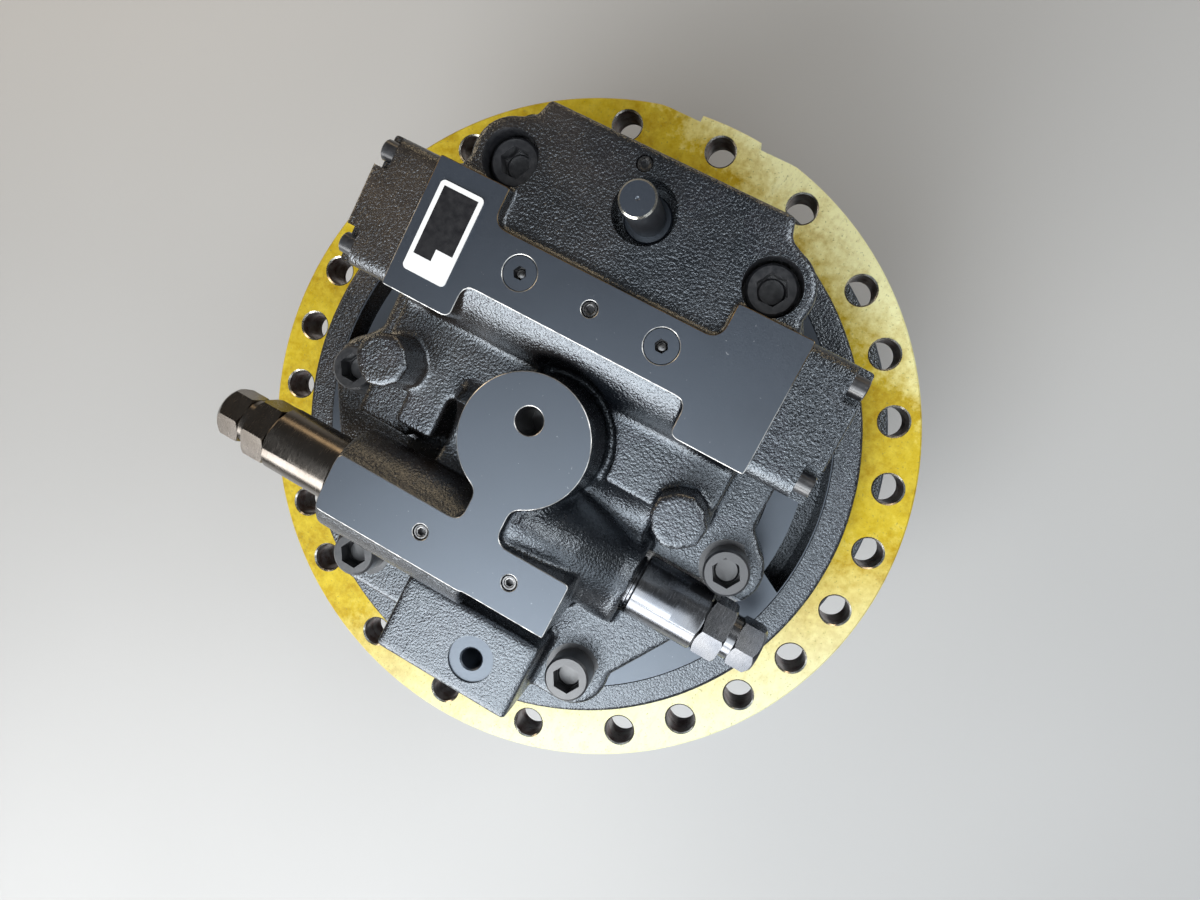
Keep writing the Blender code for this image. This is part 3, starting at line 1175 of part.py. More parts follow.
def main_ports():
    """Two split flange ports with their four bolt holes, in the end face of the top plate."""
    tools = []
    for side in (-1, 1):
        x = side * MAIN_PORT_X
        z = RING_FACE + MAIN_PORT_RISE
        holes = [((x, z), MAIN_PORT_RADIUS, MAIN_PORT_DEPTH, ROUND_SMALL)]
        for across in (-0.5, 0.5):
            for up in (-0.5, 0.5):
                place = (x + across * MAIN_PORT_BOLT_UP, z + up * MAIN_PORT_BOLT_ACROSS)
                holes.append((place, MAIN_PORT_BOLT_RADIUS, MAIN_PORT_BOLT_DEPTH, ROUND_TINY))
        for index, (place, radius, depth, segments) in enumerate(holes):
            tool = rod(f"main_port_{side}_{index}", place, radius, PLATE_TOP_Y - depth,
                       PLATE_TOP_Y + OVERRUN, segments, black_paint())
            for vertex in tool.data.vertices:
                vertex.co = (vertex.co.x, vertex.co.z, vertex.co.y)
            tools.append(turn_outwards(tool))
    return grouped("main_ports", tools)


def plug_places():
    """Name, centre, height of the face and radius of every socket plug."""
    face = RING_FACE + FACE_RISE
    return [
        ("gauge_plug_left", (-GAUGE_PLUG_X, GAUGE_PLUG_Y), face, GAUGE_PLUG_RADIUS),
        ("gauge_plug_right", (GAUGE_PLUG_X, GAUGE_PLUG_Y), face, GAUGE_PLUG_RADIUS)]


def plugs():
    for name, centre, top, radius in plug_places():
        face = top - GAUGE_PLUG_SINK
        plug = rod(name, centre, radius, top - PLUG_DEPTH, face, ROUND_SMALL, dark_steel())
        socket = rod(f"{name}_socket", centre, radius * PLUG_SOCKET_SHARE,
                     face - PLUG_DEPTH * PLUG_SOCKET_DEPTH_SHARE, face + OVERRUN, 6, dark_steel())
        cut(plug, socket)


def pin_plug():
    """Smooth pin with a collar, standing in the seat of the top plate."""
    seat = RING_FACE + PLATE_RISE - PIN_SEAT_DEPTH + GAP
    top = RING_FACE + PIN_PLUG_TOP_RISE
    edge = PIN_PLUG_EDGE
    pin = lathe("blanking_pin", [
        (0, seat), (PIN_PLUG_COLLAR_RADIUS, seat), (PIN_PLUG_COLLAR_RADIUS, seat + PIN_PLUG_COLLAR_HEIGHT),
        (PIN_PLUG_RADIUS, seat + PIN_PLUG_COLLAR_HEIGHT), (PIN_PLUG_RADIUS, top - edge),
        (PIN_PLUG_RADIUS - edge, top), (0, top)], ROUND_MEDIUM, dark_steel())
    return moved(pin, PIN_X, PIN_Y)


def flange_bolt(name, x, y, seat):
    head = rod(name, (x, y), BOLT_HEAD_RADIUS, seat + GAP, seat + BOLT_HEAD_HEIGHT, ROUND_SMALL,
               dark_steel())
    shank = rod(f"{name}_shank", (x, y), BOLT_RADIUS, bolt_reach(seat), seat + 2 * GAP, ROUND_HOLE,
                dark_steel())
    socket = rod(f"{name}_socket", (x, y), BOLT_SOCKET_RADIUS, seat + BOLT_HEAD_HEIGHT - BOLT_SOCKET_DEPTH,
                 seat + BOLT_HEAD_HEIGHT + OVERRUN, 6, dark_steel())
    return cut(join(head, shank), socket)


def nameplate():
    low = (NAMEPLATE_X - NAMEPLATE_WIDTH / 2, NAMEPLATE_Y - NAMEPLATE_LENGTH / 2, RING_FACE + FACE_RISE + GAP)
    high = (NAMEPLATE_X + NAMEPLATE_WIDTH / 2, NAMEPLATE_Y + NAMEPLATE_LENGTH / 2,
            RING_FACE + FACE_RISE + GAP + NAMEPLATE_THICKNESS)
    return box("nameplate", low, high, plate_white())


def spool_cover(name, side):
    """End cover with rounded long edges, screws in its corners and a chamber for the spring."""
    inner = SPOOL_BLOCK_HALF_LENGTH + GAP
    outer = inner + COVER_LENGTH
    low = RING_FACE + COVER_LOW_RISE
    high = RING_FACE + COVER_HIGH_RISE
    edge = COVER_EDGE
    corners = [((SPOOL_BLOCK_HIGH_Y - edge, high - edge), 0), ((SPOOL_BLOCK_LOW_Y + edge, high - edge), 90),
               ((SPOOL_BLOCK_LOW_Y + edge, low + edge), 180), ((SPOOL_BLOCK_HIGH_Y - edge, low + edge), 270)]
    section = []
    for centre, start in corners:
        section += arc(centre, edge, start, start + 90, 3)
    cover = prism_along_x(name, section, side * inner, side * outer, black_paint())
    notch = CORNER_NOTCH
    notches = []
    screws = []
    for index, (y, z) in enumerate(((SPOOL_BLOCK_HIGH_Y, high), (SPOOL_BLOCK_LOW_Y, high),
                                    (SPOOL_BLOCK_LOW_Y, low), (SPOOL_BLOCK_HIGH_Y, low))):
        y_in = -1 if y == SPOOL_BLOCK_HIGH_Y else 1
        z_in = -1 if z == high else 1
        near, far = sorted((side * (outer - CORNER_NOTCH_LENGTH), side * (outer + OVERRUN)))
        y_low, y_high = sorted((y - y_in * OVERRUN, y + y_in * 2 * notch))
        z_low, z_high = sorted((z - z_in * OVERRUN, z + z_in * notch))
        notches.append(box(f"{name}_notch_{index}", (near, y_low, z_low), (far, y_high, z_high),
                           black_paint()))
        tool = rod(f"{name}_screw_{index}", (0, 0), CORNER_BOLT_RADIUS,
                   outer - CORNER_NOTCH_LENGTH - GAP, outer - GAP, ROUND_HOLE, dark_steel())
        screws.append(turn_outwards(lay_along_x(tool, y + y_in * notch, z + z_in * CORNER_BOLT_INSET, side)))
    chamber = rod(f"{name}_chamber", (0, 0), COVER_CHAMBER_RADIUS, inner - OVERRUN,
                  inner + COVER_CHAMBER_DEPTH, ROUND_SMALL, black_paint())
    turn_outwards(lay_along_x(chamber, SPOOL_Y, RING_FACE + SPOOL_RISE, side))
    cut(cover, grouped(f"{name}_notches", notches), chamber)
    join(cover, grouped(f"{name}_screws", screws))
    return cover


def spool():
    """Counterbalance spool: four lands and three grooves."""
    end = SPOOL_BLOCK_HALF_LENGTH - SPOOL_STROKE
    land = end / SPOOL_STEPS
    places = [(-end, -end + land), (-2 * land, -land), (land, 2 * land), (end - land, end)]
    profile = [(0, -end)]
    for start, stop in places:
        profile += [(SPOOL_LAND_RADIUS, start), (SPOOL_LAND_RADIUS, stop)]
        if stop < end:
            profile.append((SPOOL_GROOVE_RADIUS, stop))
        following = [other for other, _ in places if other > stop]
        if following:
            profile.append((SPOOL_GROOVE_RADIUS, following[0]))
    profile.append((0, end))
    body = lathe("counterbalance_spool", profile, ROUND_SMALL, machined_steel())
    return turn_outwards(lay_along_x(body, SPOOL_Y, RING_FACE + SPOOL_RISE))


def centring_spring(name, side):
    """Coil between the spool's end and the cover."""
    start = SPOOL_BLOCK_HALF_LENGTH - SPOOL_STROKE + GAP + SPRING_WIRE
    end = SPOOL_BLOCK_HALF_LENGTH + COVER_CHAMBER_DEPTH - GAP - SPRING_WIRE
    steps = SPRING_TURNS * SPRING_STEPS_PER_TURN
    points = []
    for step in range(steps + 1):
        turn = 2 * math.pi * step / SPRING_STEPS_PER_TURN
        x = side * (start + (end - start) * step / steps)
        out_y = math.cos(turn)
        out_z = math.sin(turn)
        for corner in ((1, 0), (0, 1), (-1, 0), (0, -1)):
            radius = SPRING_RADIUS + corner[0] * SPRING_WIRE
            points.append((x + corner[1] * SPRING_WIRE, SPOOL_Y + radius * out_y,
                           RING_FACE + SPOOL_RISE + radius * out_z))
    faces = [[0, 1, 2, 3], [4 * steps + corner for corner in range(4)]]
    for step in range(steps):
        for corner in range(4):
            after = (corner + 1) % 4
            faces.append([4 * step + corner, 4 * step + after, 4 * step + 4 + after, 4 * step + 4 + corner])
    return mesh_object(name, points, faces, dark_steel())


def relief_valve(name, start, y, rise, side):
    """Valve cartridge along X: its thread, round body with two wrench flats, and a neck."""
    z = RING_FACE + rise
    thread_end = -VALVE_THREAD_LENGTH
    profile = [
        (0, thread_end), (VALVE_THREAD_RADIUS, thread_end), (VALVE_THREAD_RADIUS, GAP),
        (VALVE_NECK_RADIUS, GAP), (VALVE_NECK_RADIUS, VALVE_NECK_LENGTH),
        (VALVE_BODY_RADIUS, VALVE_NECK_LENGTH), (VALVE_BODY_RADIUS, VALVE_BODY_LENGTH),
        (0, VALVE_BODY_LENGTH)]
    body = lathe(name, profile, ROUND_MEDIUM, dark_steel())
    flats = []
    near = VALVE_BODY_LENGTH - VALVE_FLAT_LENGTH
    flat = VALVE_BODY_RADIUS - VALVE_FLAT_DEPTH
    for index, sign in enumerate((-1, 1)):
        low, high = sorted((sign * flat, sign * (VALVE_BODY_RADIUS + OVERRUN)))
        flats.append(box(f"{name}_flat_{index}", (low, -VALVE_BODY_RADIUS, near),
                         (high, VALVE_BODY_RADIUS, VALVE_BODY_LENGTH + OVERRUN), dark_steel()))
    cutter = grouped(f"{name}_flats", flats)
    for piece in (body, cutter):
        for vertex in piece.data.vertices:
            vertex.co.z += side * start
        turn_outwards(lay_along_x(piece, y, z, side))
    cut(body, cutter)
    return relief_adjuster(name.replace("valve", "adjuster"), side * start + VALVE_BODY_LENGTH, y, z, side)


def relief_adjuster(name, start, y, z, side):
    """Locknut with the adjusting hexagon at its end."""
    first = start + GAP
    nut = rod(name, (0, 0), LOCKNUT_RADIUS, first, first + LOCKNUT_LENGTH, 6, dark_steel(),
              start_deg=FLAT_UP_DEG)
    neck_end = first + LOCKNUT_LENGTH + ADJUSTER_NECK_LENGTH
    neck = rod(f"{name}_neck", (0, 0), ADJUSTER_NECK_RADIUS, first + LOCKNUT_LENGTH - GAP, neck_end,
               ROUND_SMALL, dark_steel())
    tip_end = neck_end + ADJUSTER_LENGTH
    hexagon = circle((0, 0), ADJUSTER_HEX_RADIUS, 6, FLAT_UP_DEG)
    small = circle((0, 0), ADJUSTER_HEX_RADIUS - ADJUSTER_CHAMFER, 6, FLAT_UP_DEG)
    tip = prism(f"{name}_tip", hexagon, neck_end - GAP, tip_end - ADJUSTER_CHAMFER, dark_steel())
    cap = prism(f"{name}_cap", hexagon, tip_end - ADJUSTER_CHAMFER - GAP, tip_end, dark_steel(), small)
    for piece in (nut, neck, tip, cap):
        turn_outwards(lay_along_x(piece, y, z, side))
    return join(nut, neck, tip, cap)


def build():
    motor_case()
    rear_flange()
    for index, (x, y, seat) in enumerate(bolt_places()):
        flange_bolt(f"flange_bolt_{index + 1}", x, y, seat)
    nameplate()
    spool_cover("spool_cover_left", -1)
    spool_cover("spool_cover_right", 1)
    spool()
    centring_spring("centring_spring_left", -1)
    centring_spring("centring_spring_right", 1)
    relief_valve("relief_valve_left", VALVE_BLOCK_LEFT - GAP, LEFT_VALVE_Y, LEFT_VALVE_RISE, -1)
    relief_valve("relief_valve_right", RIGHT_CAST_END + GAP, RIGHT_VALVE_Y, RIGHT_VALVE_RISE, 1)
    plugs()
    pin_plug()
    gear_cover()
    ring_gear()
    hub()
    gear_train()
    bearings_and_seal()
    motor_group()


for old in list(bpy.data.objects):
    bpy.data.objects.remove(old)
build()
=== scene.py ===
"""Looks of the excavator final drive: painted rear flange, coated frame ring, valves and screws.

Lengths are in metres in the frame of the CAD model. Heights that end in RISE are
measured from the face of the frame ring.
"""

import json
import math

import bmesh
import bpy
from mathutils import Matrix, Vector


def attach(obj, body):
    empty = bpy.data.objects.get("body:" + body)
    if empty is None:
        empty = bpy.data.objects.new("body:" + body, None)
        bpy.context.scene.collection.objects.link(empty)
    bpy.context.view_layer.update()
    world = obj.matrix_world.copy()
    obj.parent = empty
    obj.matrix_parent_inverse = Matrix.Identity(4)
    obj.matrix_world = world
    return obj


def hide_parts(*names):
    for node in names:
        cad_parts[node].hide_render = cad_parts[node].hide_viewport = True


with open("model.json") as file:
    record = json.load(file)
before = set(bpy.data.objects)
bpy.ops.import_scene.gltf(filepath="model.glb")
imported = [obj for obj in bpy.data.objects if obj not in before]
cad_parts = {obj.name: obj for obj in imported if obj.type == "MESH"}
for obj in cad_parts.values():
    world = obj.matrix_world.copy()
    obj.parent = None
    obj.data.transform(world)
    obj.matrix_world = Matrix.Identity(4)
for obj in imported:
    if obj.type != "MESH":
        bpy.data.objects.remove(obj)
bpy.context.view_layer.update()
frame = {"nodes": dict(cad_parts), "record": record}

MM = 0.001
RING_FACE = 0.3056
RING_BOTTOM = 0.2756
CASE_TOP = 0.3306
FLANGE_BOTTOM = 0.3309
FACE_RISE = 0.150
PLATE_RISE = 0.141
CAST_RISE = 0.118
PAD_RISE = 0.110
SEAT_RISE = 0.070
GAP = 0.0003
FACE = RING_FACE + FACE_RISE
PLATE = RING_FACE + PLATE_RISE
PAD = RING_FACE + PAD_RISE

RING_RADIUS = 0.250
RING_CORE_RADIUS = 0.150
RING_HOLE_RADIUS = 0.0107
RING_HOLE_CIRCLE = 0.231
CASE_RADIUS = 0.208
LAND_RADIUS = 0.1875

BOLTS = ((0.0847, 0.1413, 0.111), (0.1420, -0.0220, 0.070), (0.0846, -0.1360, 0.070))
BOLT_PAD_RADIUS = 0.0245
BOLT_HEAD_RADIUS = 0.015
BOLT_HEAD_HEIGHT = 0.020

SPOOL_Y = 0.084
SPOOL_RISE = 0.108
SPOOL_CAST_RADIUS = 0.046
BLOCK_HALF = 0.1165
BLOCK_LOW_Y = 0.0425
BLOCK_HIGH_Y = 0.1245
COLUMN_X = 0.0730
BAR_LOW_Y = 0.0650
BAR_HIGH_Y = 0.1020

VALVE_LEFT = -0.0955
VALVE_RIGHT = 0.063
VALVE_HIGH_Y = -0.0615
VALVE_LOW_Y = -0.097
LEFT_VALVE_Y = -0.0793
LEFT_VALVE_RISE = 0.120
RIGHT_VALVE_Y = -0.0596
RIGHT_VALVE_RISE = 0.075
RIGHT_CAST_END = 0.089
DISC_RADIUS = 0.0405
MOAT_RADIUS = 0.048
BOSS_X = 0.100
BOSS_Y = 0.002
BOSS_RADIUS = 0.0168

SPOOL_BORE_RADIUS = 0.0178
VALVE_BORE_RADIUS = 0.0163
VALVE_RADIUS = 0.0215
VALVE_LENGTH = 0.055
COVER_LENGTH = 0.040
PLUG_Y = 0.0845
GAUGE_X = 0.046
VALVE_PLUG = (0.0308, -0.078)
PLATE_PLUG = (-0.0115, 0.171)
PIN = (0.001, 0.147)
PIN_DEPTH = 0.022
DRAIN = (0.025, -0.149)
DISC_PORT = (-0.002, 0.012)

GEARBOX_RADIUS = 0.205
RING_GEAR_LOW = 0.0303
RING_GEAR_HIGH = 0.146
SPROCKET_LOW = 0.1713
SPROCKET_HIGH = 0.1933
OIL_PLUG_X = 0.141
TEETH = 50
MODULE = 0.0072
PRESSURE_DEG = 20


# Finishes

class Wire:
    """A socket of a finish's nodes. Sums with it add Math nodes, and add makes any other."""

    def __init__(self, tree, socket=None):
        self.tree = tree
        self.socket = socket

    def add(self, kind, settings=None, inputs=None, output=0):
        node = self.tree.nodes.new(kind)
        for name, value in (settings or {}).items():
            setattr(node, name, value)
        for key, value in (inputs or {}).items():
            feed(self.tree, node.inputs[key], value)
        return Wire(self.tree, node.outputs[output])

    def maths(self, operation, *values):
        return self.add("ShaderNodeMath", {"operation": operation}, dict(enumerate(values)))

    def __add__(self, other):
        return self.maths("ADD", self, other)

    def __sub__(self, other):
        return self.maths("SUBTRACT", self, other)

    def __rsub__(self, other):
        return self.maths("SUBTRACT", other, self)

    def __mul__(self, other):
        return self.maths("MULTIPLY", self, other)

    __radd__ = __add__
    __rmul__ = __mul__

    def part(self, axis):
        """One coordinate of a place: 0 for x, 1 for y, 2 for z."""
        return self.add("ShaderNodeSeparateXYZ", None, {0: self}, axis)

    def blend(self, low, high):
        """The colour low where this value is 0 and high where it is 1."""
        return self.add("ShaderNodeMix", {"data_type": "RGBA"}, {0: self, 6: low, 7: high}, 2)

    def spread(self, start, end, low=0.0, high=1.0):
        """This value mapped from start..end to low..high, and held there."""
        inputs = {"Value": self, "From Min": start, "From Max": end, "To Min": low, "To Max": high}
        return self.add("ShaderNodeMapRange", {"clamp": True}, inputs)


def feed(tree, socket, value):
    """Links a wire to a socket, or sets a number, a place or a (red, green, blue) colour on it."""
    if isinstance(value, Wire):
        tree.links.new(value.socket, socket)
    elif socket.type == "RGBA":
        socket.default_value = (*value, 1)
    else:
        socket.default_value = value


class Finish:
    """A material with its Principled shader and the places that its patterns read."""

    def __init__(self, name, roughness=0.5, metallic=0.0, coat=0.0, coat_roughness=0.1):
        self.material = bpy.data.materials.new(name)
        self.material.use_nodes = True
        self.tree = self.material.node_tree
        self.shader = self.tree.nodes["Principled BSDF"]
        self.wire = Wire(self.tree)
        self.place = self.wire.add("ShaderNodeTexCoord", output=3)
        self.set("Roughness", roughness)
        self.set("Metallic", metallic)
        self.set("Coat Weight", coat)
        self.set("Coat Roughness", coat_roughness)

    def set(self, name, value):
        feed(self.tree, self.shader.inputs[name], value)

    def noise(self, size, detail=2.0, roughness=0.5, place=None):
        """Cloudy values about 0.5, with patches of roughly this size in metres."""
        inputs = {"Vector": place or self.place, "Scale": 1 / size, "Detail": detail,
                  "Roughness": roughness}
        return self.wire.add("ShaderNodeTexNoise", None, inputs)

    def stretched(self, along):
        """The places drawn out, so that a pattern becomes streaks."""
        return self.wire.add("ShaderNodeMapping", None, {"Vector": self.place, "Scale": along})

    def done(self, colour, roughness, height=None, depth=0.0):
        """Sets the shader's patterns and gives the material."""
        self.set("Base Color", colour)
        self.set("Roughness", roughness)
        if height is not None:
            inputs = {"Height": height, "Distance": depth}
            self.set("Normal", self.wire.add("ShaderNodeBump", None, inputs))
        return self.material


def cast_paint():
    """Glossy black paint over a sand cast skin. Towards the left cover it turns brown, a painted
    warm reflection.
    """
    finish = Finish("cast_paint")
    finish.set("IOR", 2.1)
    # The blue specular tint is a painted reflection of a blue sky.
    finish.set("Specular Tint", (0.84, 0.92, 1.0))
    grain = finish.noise(1.55 * MM, 2.0, 0.55)
    lumps = finish.noise(9 * MM, 2.0)
    patches = finish.noise(40 * MM, 3.0)
    dust = finish.noise(0.6 * MM, 1.0).spread(0.55, 0.70) * patches.spread(0.40, 0.62)
    # Painted warm reflection: the paint turns brown towards the left cover; warm holds the colour
    # of this painted reflection.
    warm_reflection_share = finish.place.part(0).spread(0.02, -0.14)
    cool = patches.spread(0.38, 0.66).blend((0.003, 0.004, 0.006), (0.008, 0.009, 0.012))
    warm = patches.spread(0.38, 0.66).blend((0.012, 0.009, 0.007), (0.034, 0.024, 0.016))
    return finish.done((dust * 0.22).blend(warm_reflection_share.blend(cool, warm), (0.14, 0.12, 0.10)),
                       grain.spread(0.3, 0.75, 0.18, 0.30), grain * 0.8 + lumps * 0.4, 0.70 * MM)


def machined_paint():
    """Thin satin paint over faces that were milled flat."""
    finish = Finish("machined_paint")
    finish.set("IOR", 2.15)
    # The blue specular tint is a painted reflection of a blue sky.
    finish.set("Specular Tint", (0.78, 0.88, 1.0))
    clouds = finish.noise(60 * MM, 2.0)
    fine = finish.noise(0.8 * MM, 2.0, 0.6)
    specks = finish.noise(2.6 * MM, 2.0, 0.6).spread(0.73, 0.77)
    colour = clouds.spread(0.35, 0.68).blend((0.010, 0.013, 0.020), (0.015, 0.020, 0.030))
    return finish.done((specks * 0.5).blend(colour, (0.30, 0.31, 0.33)),
                       fine.spread(0.3, 0.7, 0.34, 0.42), fine, 0.03 * MM)


def edge_line():
    """Narrow chamfers where the metal shines through the paint. By the top plate they take a
    painted warm reflection, dark gold.
    """
    finish = Finish("edge_line", metallic=0.8)
    wear = finish.noise(7 * MM, 3.0)
    # Painted warm reflection: gold marks the edges by the top plate, which turn dark gold.
    gold = finish.place.part(1).spread(0.094, 0.100)
    silver = wear.spread(0.35, 0.7).blend((0.20, 0.20, 0.20), (0.62, 0.61, 0.58))
    reflected_gold = wear.spread(0.35, 0.7).blend((0.05, 0.035, 0.020), (0.20, 0.14, 0.065))
    return finish.done(gold.blend(silver, reflected_gold), wear.spread(0.3, 0.7, 0.36, 0.26))


def ring_coating():
    """Clear yellow protective coating over the turned frame ring, with two painted highlights where
    it turns pale.
    """
    finish = Finish("ring_coating", metallic=0.1)
    finish.set("IOR", 1.25)
    mottle = finish.noise(7 * MM, 6.0, 0.7)
    drift = finish.noise(34 * MM, 3.0)
    specks = finish.noise(1.8 * MM, 2.0, 0.7).spread(0.63, 0.69)
    streaks = finish.noise(2.0 * MM, 3.0, 0.7, finish.stretched((0.5, 0.2, 1.0))).spread(0.50, 0.72)
    x = finish.place.part(0)
    y = finish.place.part(1)
    wander = mottle * 0.06 + drift * 0.05
    # near and far mark two painted highlights, pale patches towards +X -Y and towards +X +Y; pale
    # and coat carry them.
    near = (x * 0.6 - y * 0.8 + wander).spread(0.165, 0.285)
    far = (x * 0.41 + y * 0.91 + wander).spread(0.252, 0.295)
    gold = drift.spread(0.40, 0.60).blend((0.42, 0.27, 0.010), (0.52, 0.37, 0.014))
    mottled = mottle.spread(0.36, 0.80).blend(gold, (0.70, 0.56, 0.06))
    pale = near.blend(mottled, (0.72, 0.71, 0.46))
    coat = far.blend(pale, (0.92, 0.90, 0.50))
    marked = (specks * 0.6).blend(coat, (0.20, 0.20, 0.06))
    return finish.done((streaks * 0.22).blend(marked, (0.34, 0.27, 0.04)),
                       mottle.spread(0.3, 0.7, 0.36, 0.50), mottle * 0.5 + specks * 0.5, 0.06 * MM)


def drilled_steel():
    """Bare walls of the ring's bolt holes, gone brown in places."""
    finish = Finish("drilled_steel", metallic=0.9)
    bands = finish.noise(1.2 * MM, 2.0, 0.5, finish.stretched((0.15, 0.15, 1.0)))
    rust = finish.noise(8 * MM, 3.0)
    colour = rust.spread(0.40, 0.62).blend((0.34, 0.31, 0.30), (0.17, 0.11, 0.10))
    return finish.done(colour, bands.spread(0.3, 0.7, 0.25, 0.45), bands, 0.08 * MM)


def bright_chamfer():
    """Bare turned metal of countersinks, the pin's rim and the oil plugs."""
    finish = Finish("bright_chamfer", metallic=1.0)
    turning = finish.noise(0.6 * MM, 2.0)
    return finish.done((0.72, 0.70, 0.62), turning.spread(0.3, 0.7, 0.16, 0.30))


def black_oxide():
    """Oiled black screws."""
    finish = Finish("black_oxide", coat=0.4, coat_roughness=0.20)
    finish.set("IOR", 1.8)
    film = finish.noise(3 * MM, 3.0)
    black = film.spread(0.35, 0.7).blend((0.012, 0.013, 0.016), (0.028, 0.028, 0.031))
    return finish.done(black, film.spread(0.3, 0.7, 0.28, 0.40),
                       finish.noise(0.8 * MM, 2.0), 0.012 * MM)


def valve_steel():
    """Turned dark steel of the relief valves, browned on the left valve by a painted warm
    reflection.
    """
    finish = Finish("valve_steel", metallic=1.0)
    tinge = finish.noise(22 * MM, 2.0)
    turning = finish.noise(0.9 * MM, 2.0, 0.5, finish.stretched((1.0, 0.2, 0.2)))
    # Painted warm reflection: brown marks the steel towards the left, which turns brown.
    brown = finish.place.part(0).spread(0.04, -0.08)
    dark = tinge.spread(0.35, 0.65).blend((0.17, 0.18, 0.20), (0.22, 0.225, 0.235))
    warm_reflection_tone = tinge.spread(0.35, 0.65).blend((0.16, 0.14, 0.12), (0.21, 0.19, 0.17))
    return finish.done(brown.blend(dark, warm_reflection_tone), turning.spread(0.3, 0.7, 0.20, 0.28),
                       turning, 0.0015 * MM)


def ground_steel():
    """Gears, races and shafts."""
    finish = Finish("ground_steel", metallic=1.0)
    film = finish.noise(14 * MM, 3.0)
    grind = finish.noise(0.8 * MM, 2.0, 0.5, finish.stretched((1.0, 1.0, 0.15)))
    grey = film.spread(0.35, 0.65).blend((0.42, 0.42, 0.43), (0.55, 0.54, 0.52))
    return finish.done(grey, grind.spread(0.3, 0.7, 0.20, 0.34), grind, 0.02 * MM)


def clouded(name, patch, clear, dark, pale, smooth, dull, detail=3.0, metallic=0.0, coat=0.0):
    """A finish that only drifts from a dark to a pale colour and from smooth to dull."""
    finish = Finish(name, metallic=metallic, coat=coat)
    film = finish.noise(patch, detail)
    return finish.done(film.spread(clear, 1 - clear).blend(dark, pale),
                       film.spread(0.3, 0.7, smooth, dull))


def floor_paint():
    """Plain pale studio floor."""
    finish = Finish("floor_paint", roughness=0.6)
    clouds = finish.noise(0.8, 2.0)
    pale = clouds.spread(0.3, 0.7).blend((0.42, 0.42, 0.415), (0.46, 0.46, 0.455))
    finish.set("Base Color", pale)
    return finish.material


CAST = cast_paint()
MACHINED = machined_paint()
EDGE = edge_line()
COATING = ring_coating()
DRILLED = drilled_steel()
CHAMFER = bright_chamfer()
OXIDE = black_oxide()
VALVE = valve_steel()
PLUG = clouded("plug_steel", 2 * MM, 0.35, (0.14, 0.14, 0.145), (0.26, 0.255, 0.245), 0.22, 0.34,
               detail=2.0, metallic=1.0)
GROUND = ground_steel()
SPRING = clouded("spring_steel", 6 * MM, 0.35, (0.07, 0.07, 0.08), (0.15, 0.14, 0.14), 0.25, 0.40,
                 metallic=0.9)
BRONZE = clouded("bearing_bronze", 11 * MM, 0.35, (0.48, 0.29, 0.12), (0.62, 0.42, 0.20),
                 0.24, 0.38, metallic=1.0)
FOIL = clouded("plate_foil", 5 * MM, 0.3, (0.72, 0.73, 0.73), (0.80, 0.80, 0.79), 0.30, 0.42,
               coat=0.3)
PRINT = clouded("plate_print", 4 * MM, 0.3, (0.008, 0.008, 0.010), (0.016, 0.016, 0.018),
                0.30, 0.42, coat=0.3)


# Shapes

def mesh_piece(name, points, faces, *finishes):
    mesh = bpy.data.meshes.new(name)
    mesh.from_pydata(points, [], faces)
    for finish in finishes:
        mesh.materials.append(finish)
    piece = bpy.data.objects.new(name, mesh)
    bpy.context.collection.objects.link(piece)
    return turned_out(piece)


def turned_out(piece):
    """Points every face outwards."""
    work = bmesh.new()
    work.from_mesh(piece.data)
    bmesh.ops.recalc_face_normals(work, faces=work.faces)
    work.to_mesh(piece.data)
    work.free()
    return piece


def shaded(piece, sharp_deg=32):
    """Smooth round faces, crisp edges where the finish changes, and level faces kept flat."""
    piece.data.shade_smooth()
    piece.data.set_sharp_from_angle(angle=math.radians(sharp_deg))
    work = bmesh.new()
    work.from_mesh(piece.data)
    for edge in work.edges:
        if len({face.material_index for face in edge.link_faces}) > 1:
            edge.smooth = False
    for face in work.faces:
        if abs(face.normal.z) > 0.99999:
            face.smooth = False
    work.to_mesh(piece.data)
    work.free()
    return piece


def arc(centre, radius, start_deg, end_deg, steps):
    angles = [math.radians(start_deg + (end_deg - start_deg) * step / steps)
              for step in range(steps + 1)]
    return [(centre[0] + radius * math.cos(angle), centre[1] + radius * math.sin(angle))
            for angle in angles]


def circle(centre, radius, steps, start_deg=0):
    return arc(centre, radius, start_deg, start_deg + 360, steps)[:-1]


def hole_places(radius, angles, height=0.0):
    """Places on a bolt circle."""
    return [(*circle((0, 0), radius, 1, angle)[0], height) for angle in angles]


def in_mm(*corners):
    """Corners of a profile that are given in millimetres."""
    return [(radius * MM, height * MM) for radius, height in corners]


def turned(name, profile, steps, *finishes, shares=None):
    """Turns a closed (radius, height) profile about Z. shares gives each run its finish."""
    points = []
    rings = []
    for radius, height in profile:
        if radius == 0:
            rings.append([len(points)])
            points.append((0, 0, height))
            continue
        rings.append(list(range(len(points), len(points) + steps)))
        points += [(x, y, height) for x, y in circle((0, 0), radius, steps)]
    faces = []
    slots = []
    for index, ring in enumerate(rings):
        following = rings[(index + 1) % len(rings)]
        for step in range(steps):
            after = (step + 1) % steps
            corners = [ring[step % len(ring)], ring[after % len(ring)],
                       following[after % len(following)], following[step % len(following)]]
            corners = list(dict.fromkeys(corners))
            if len(corners) > 2:
                faces.append(corners)
                slots.append(shares[index] if shares else 0)
    piece = mesh_piece(name, points, faces, *finishes)
    piece.data.polygons.foreach_set("material_index", slots)
    return piece


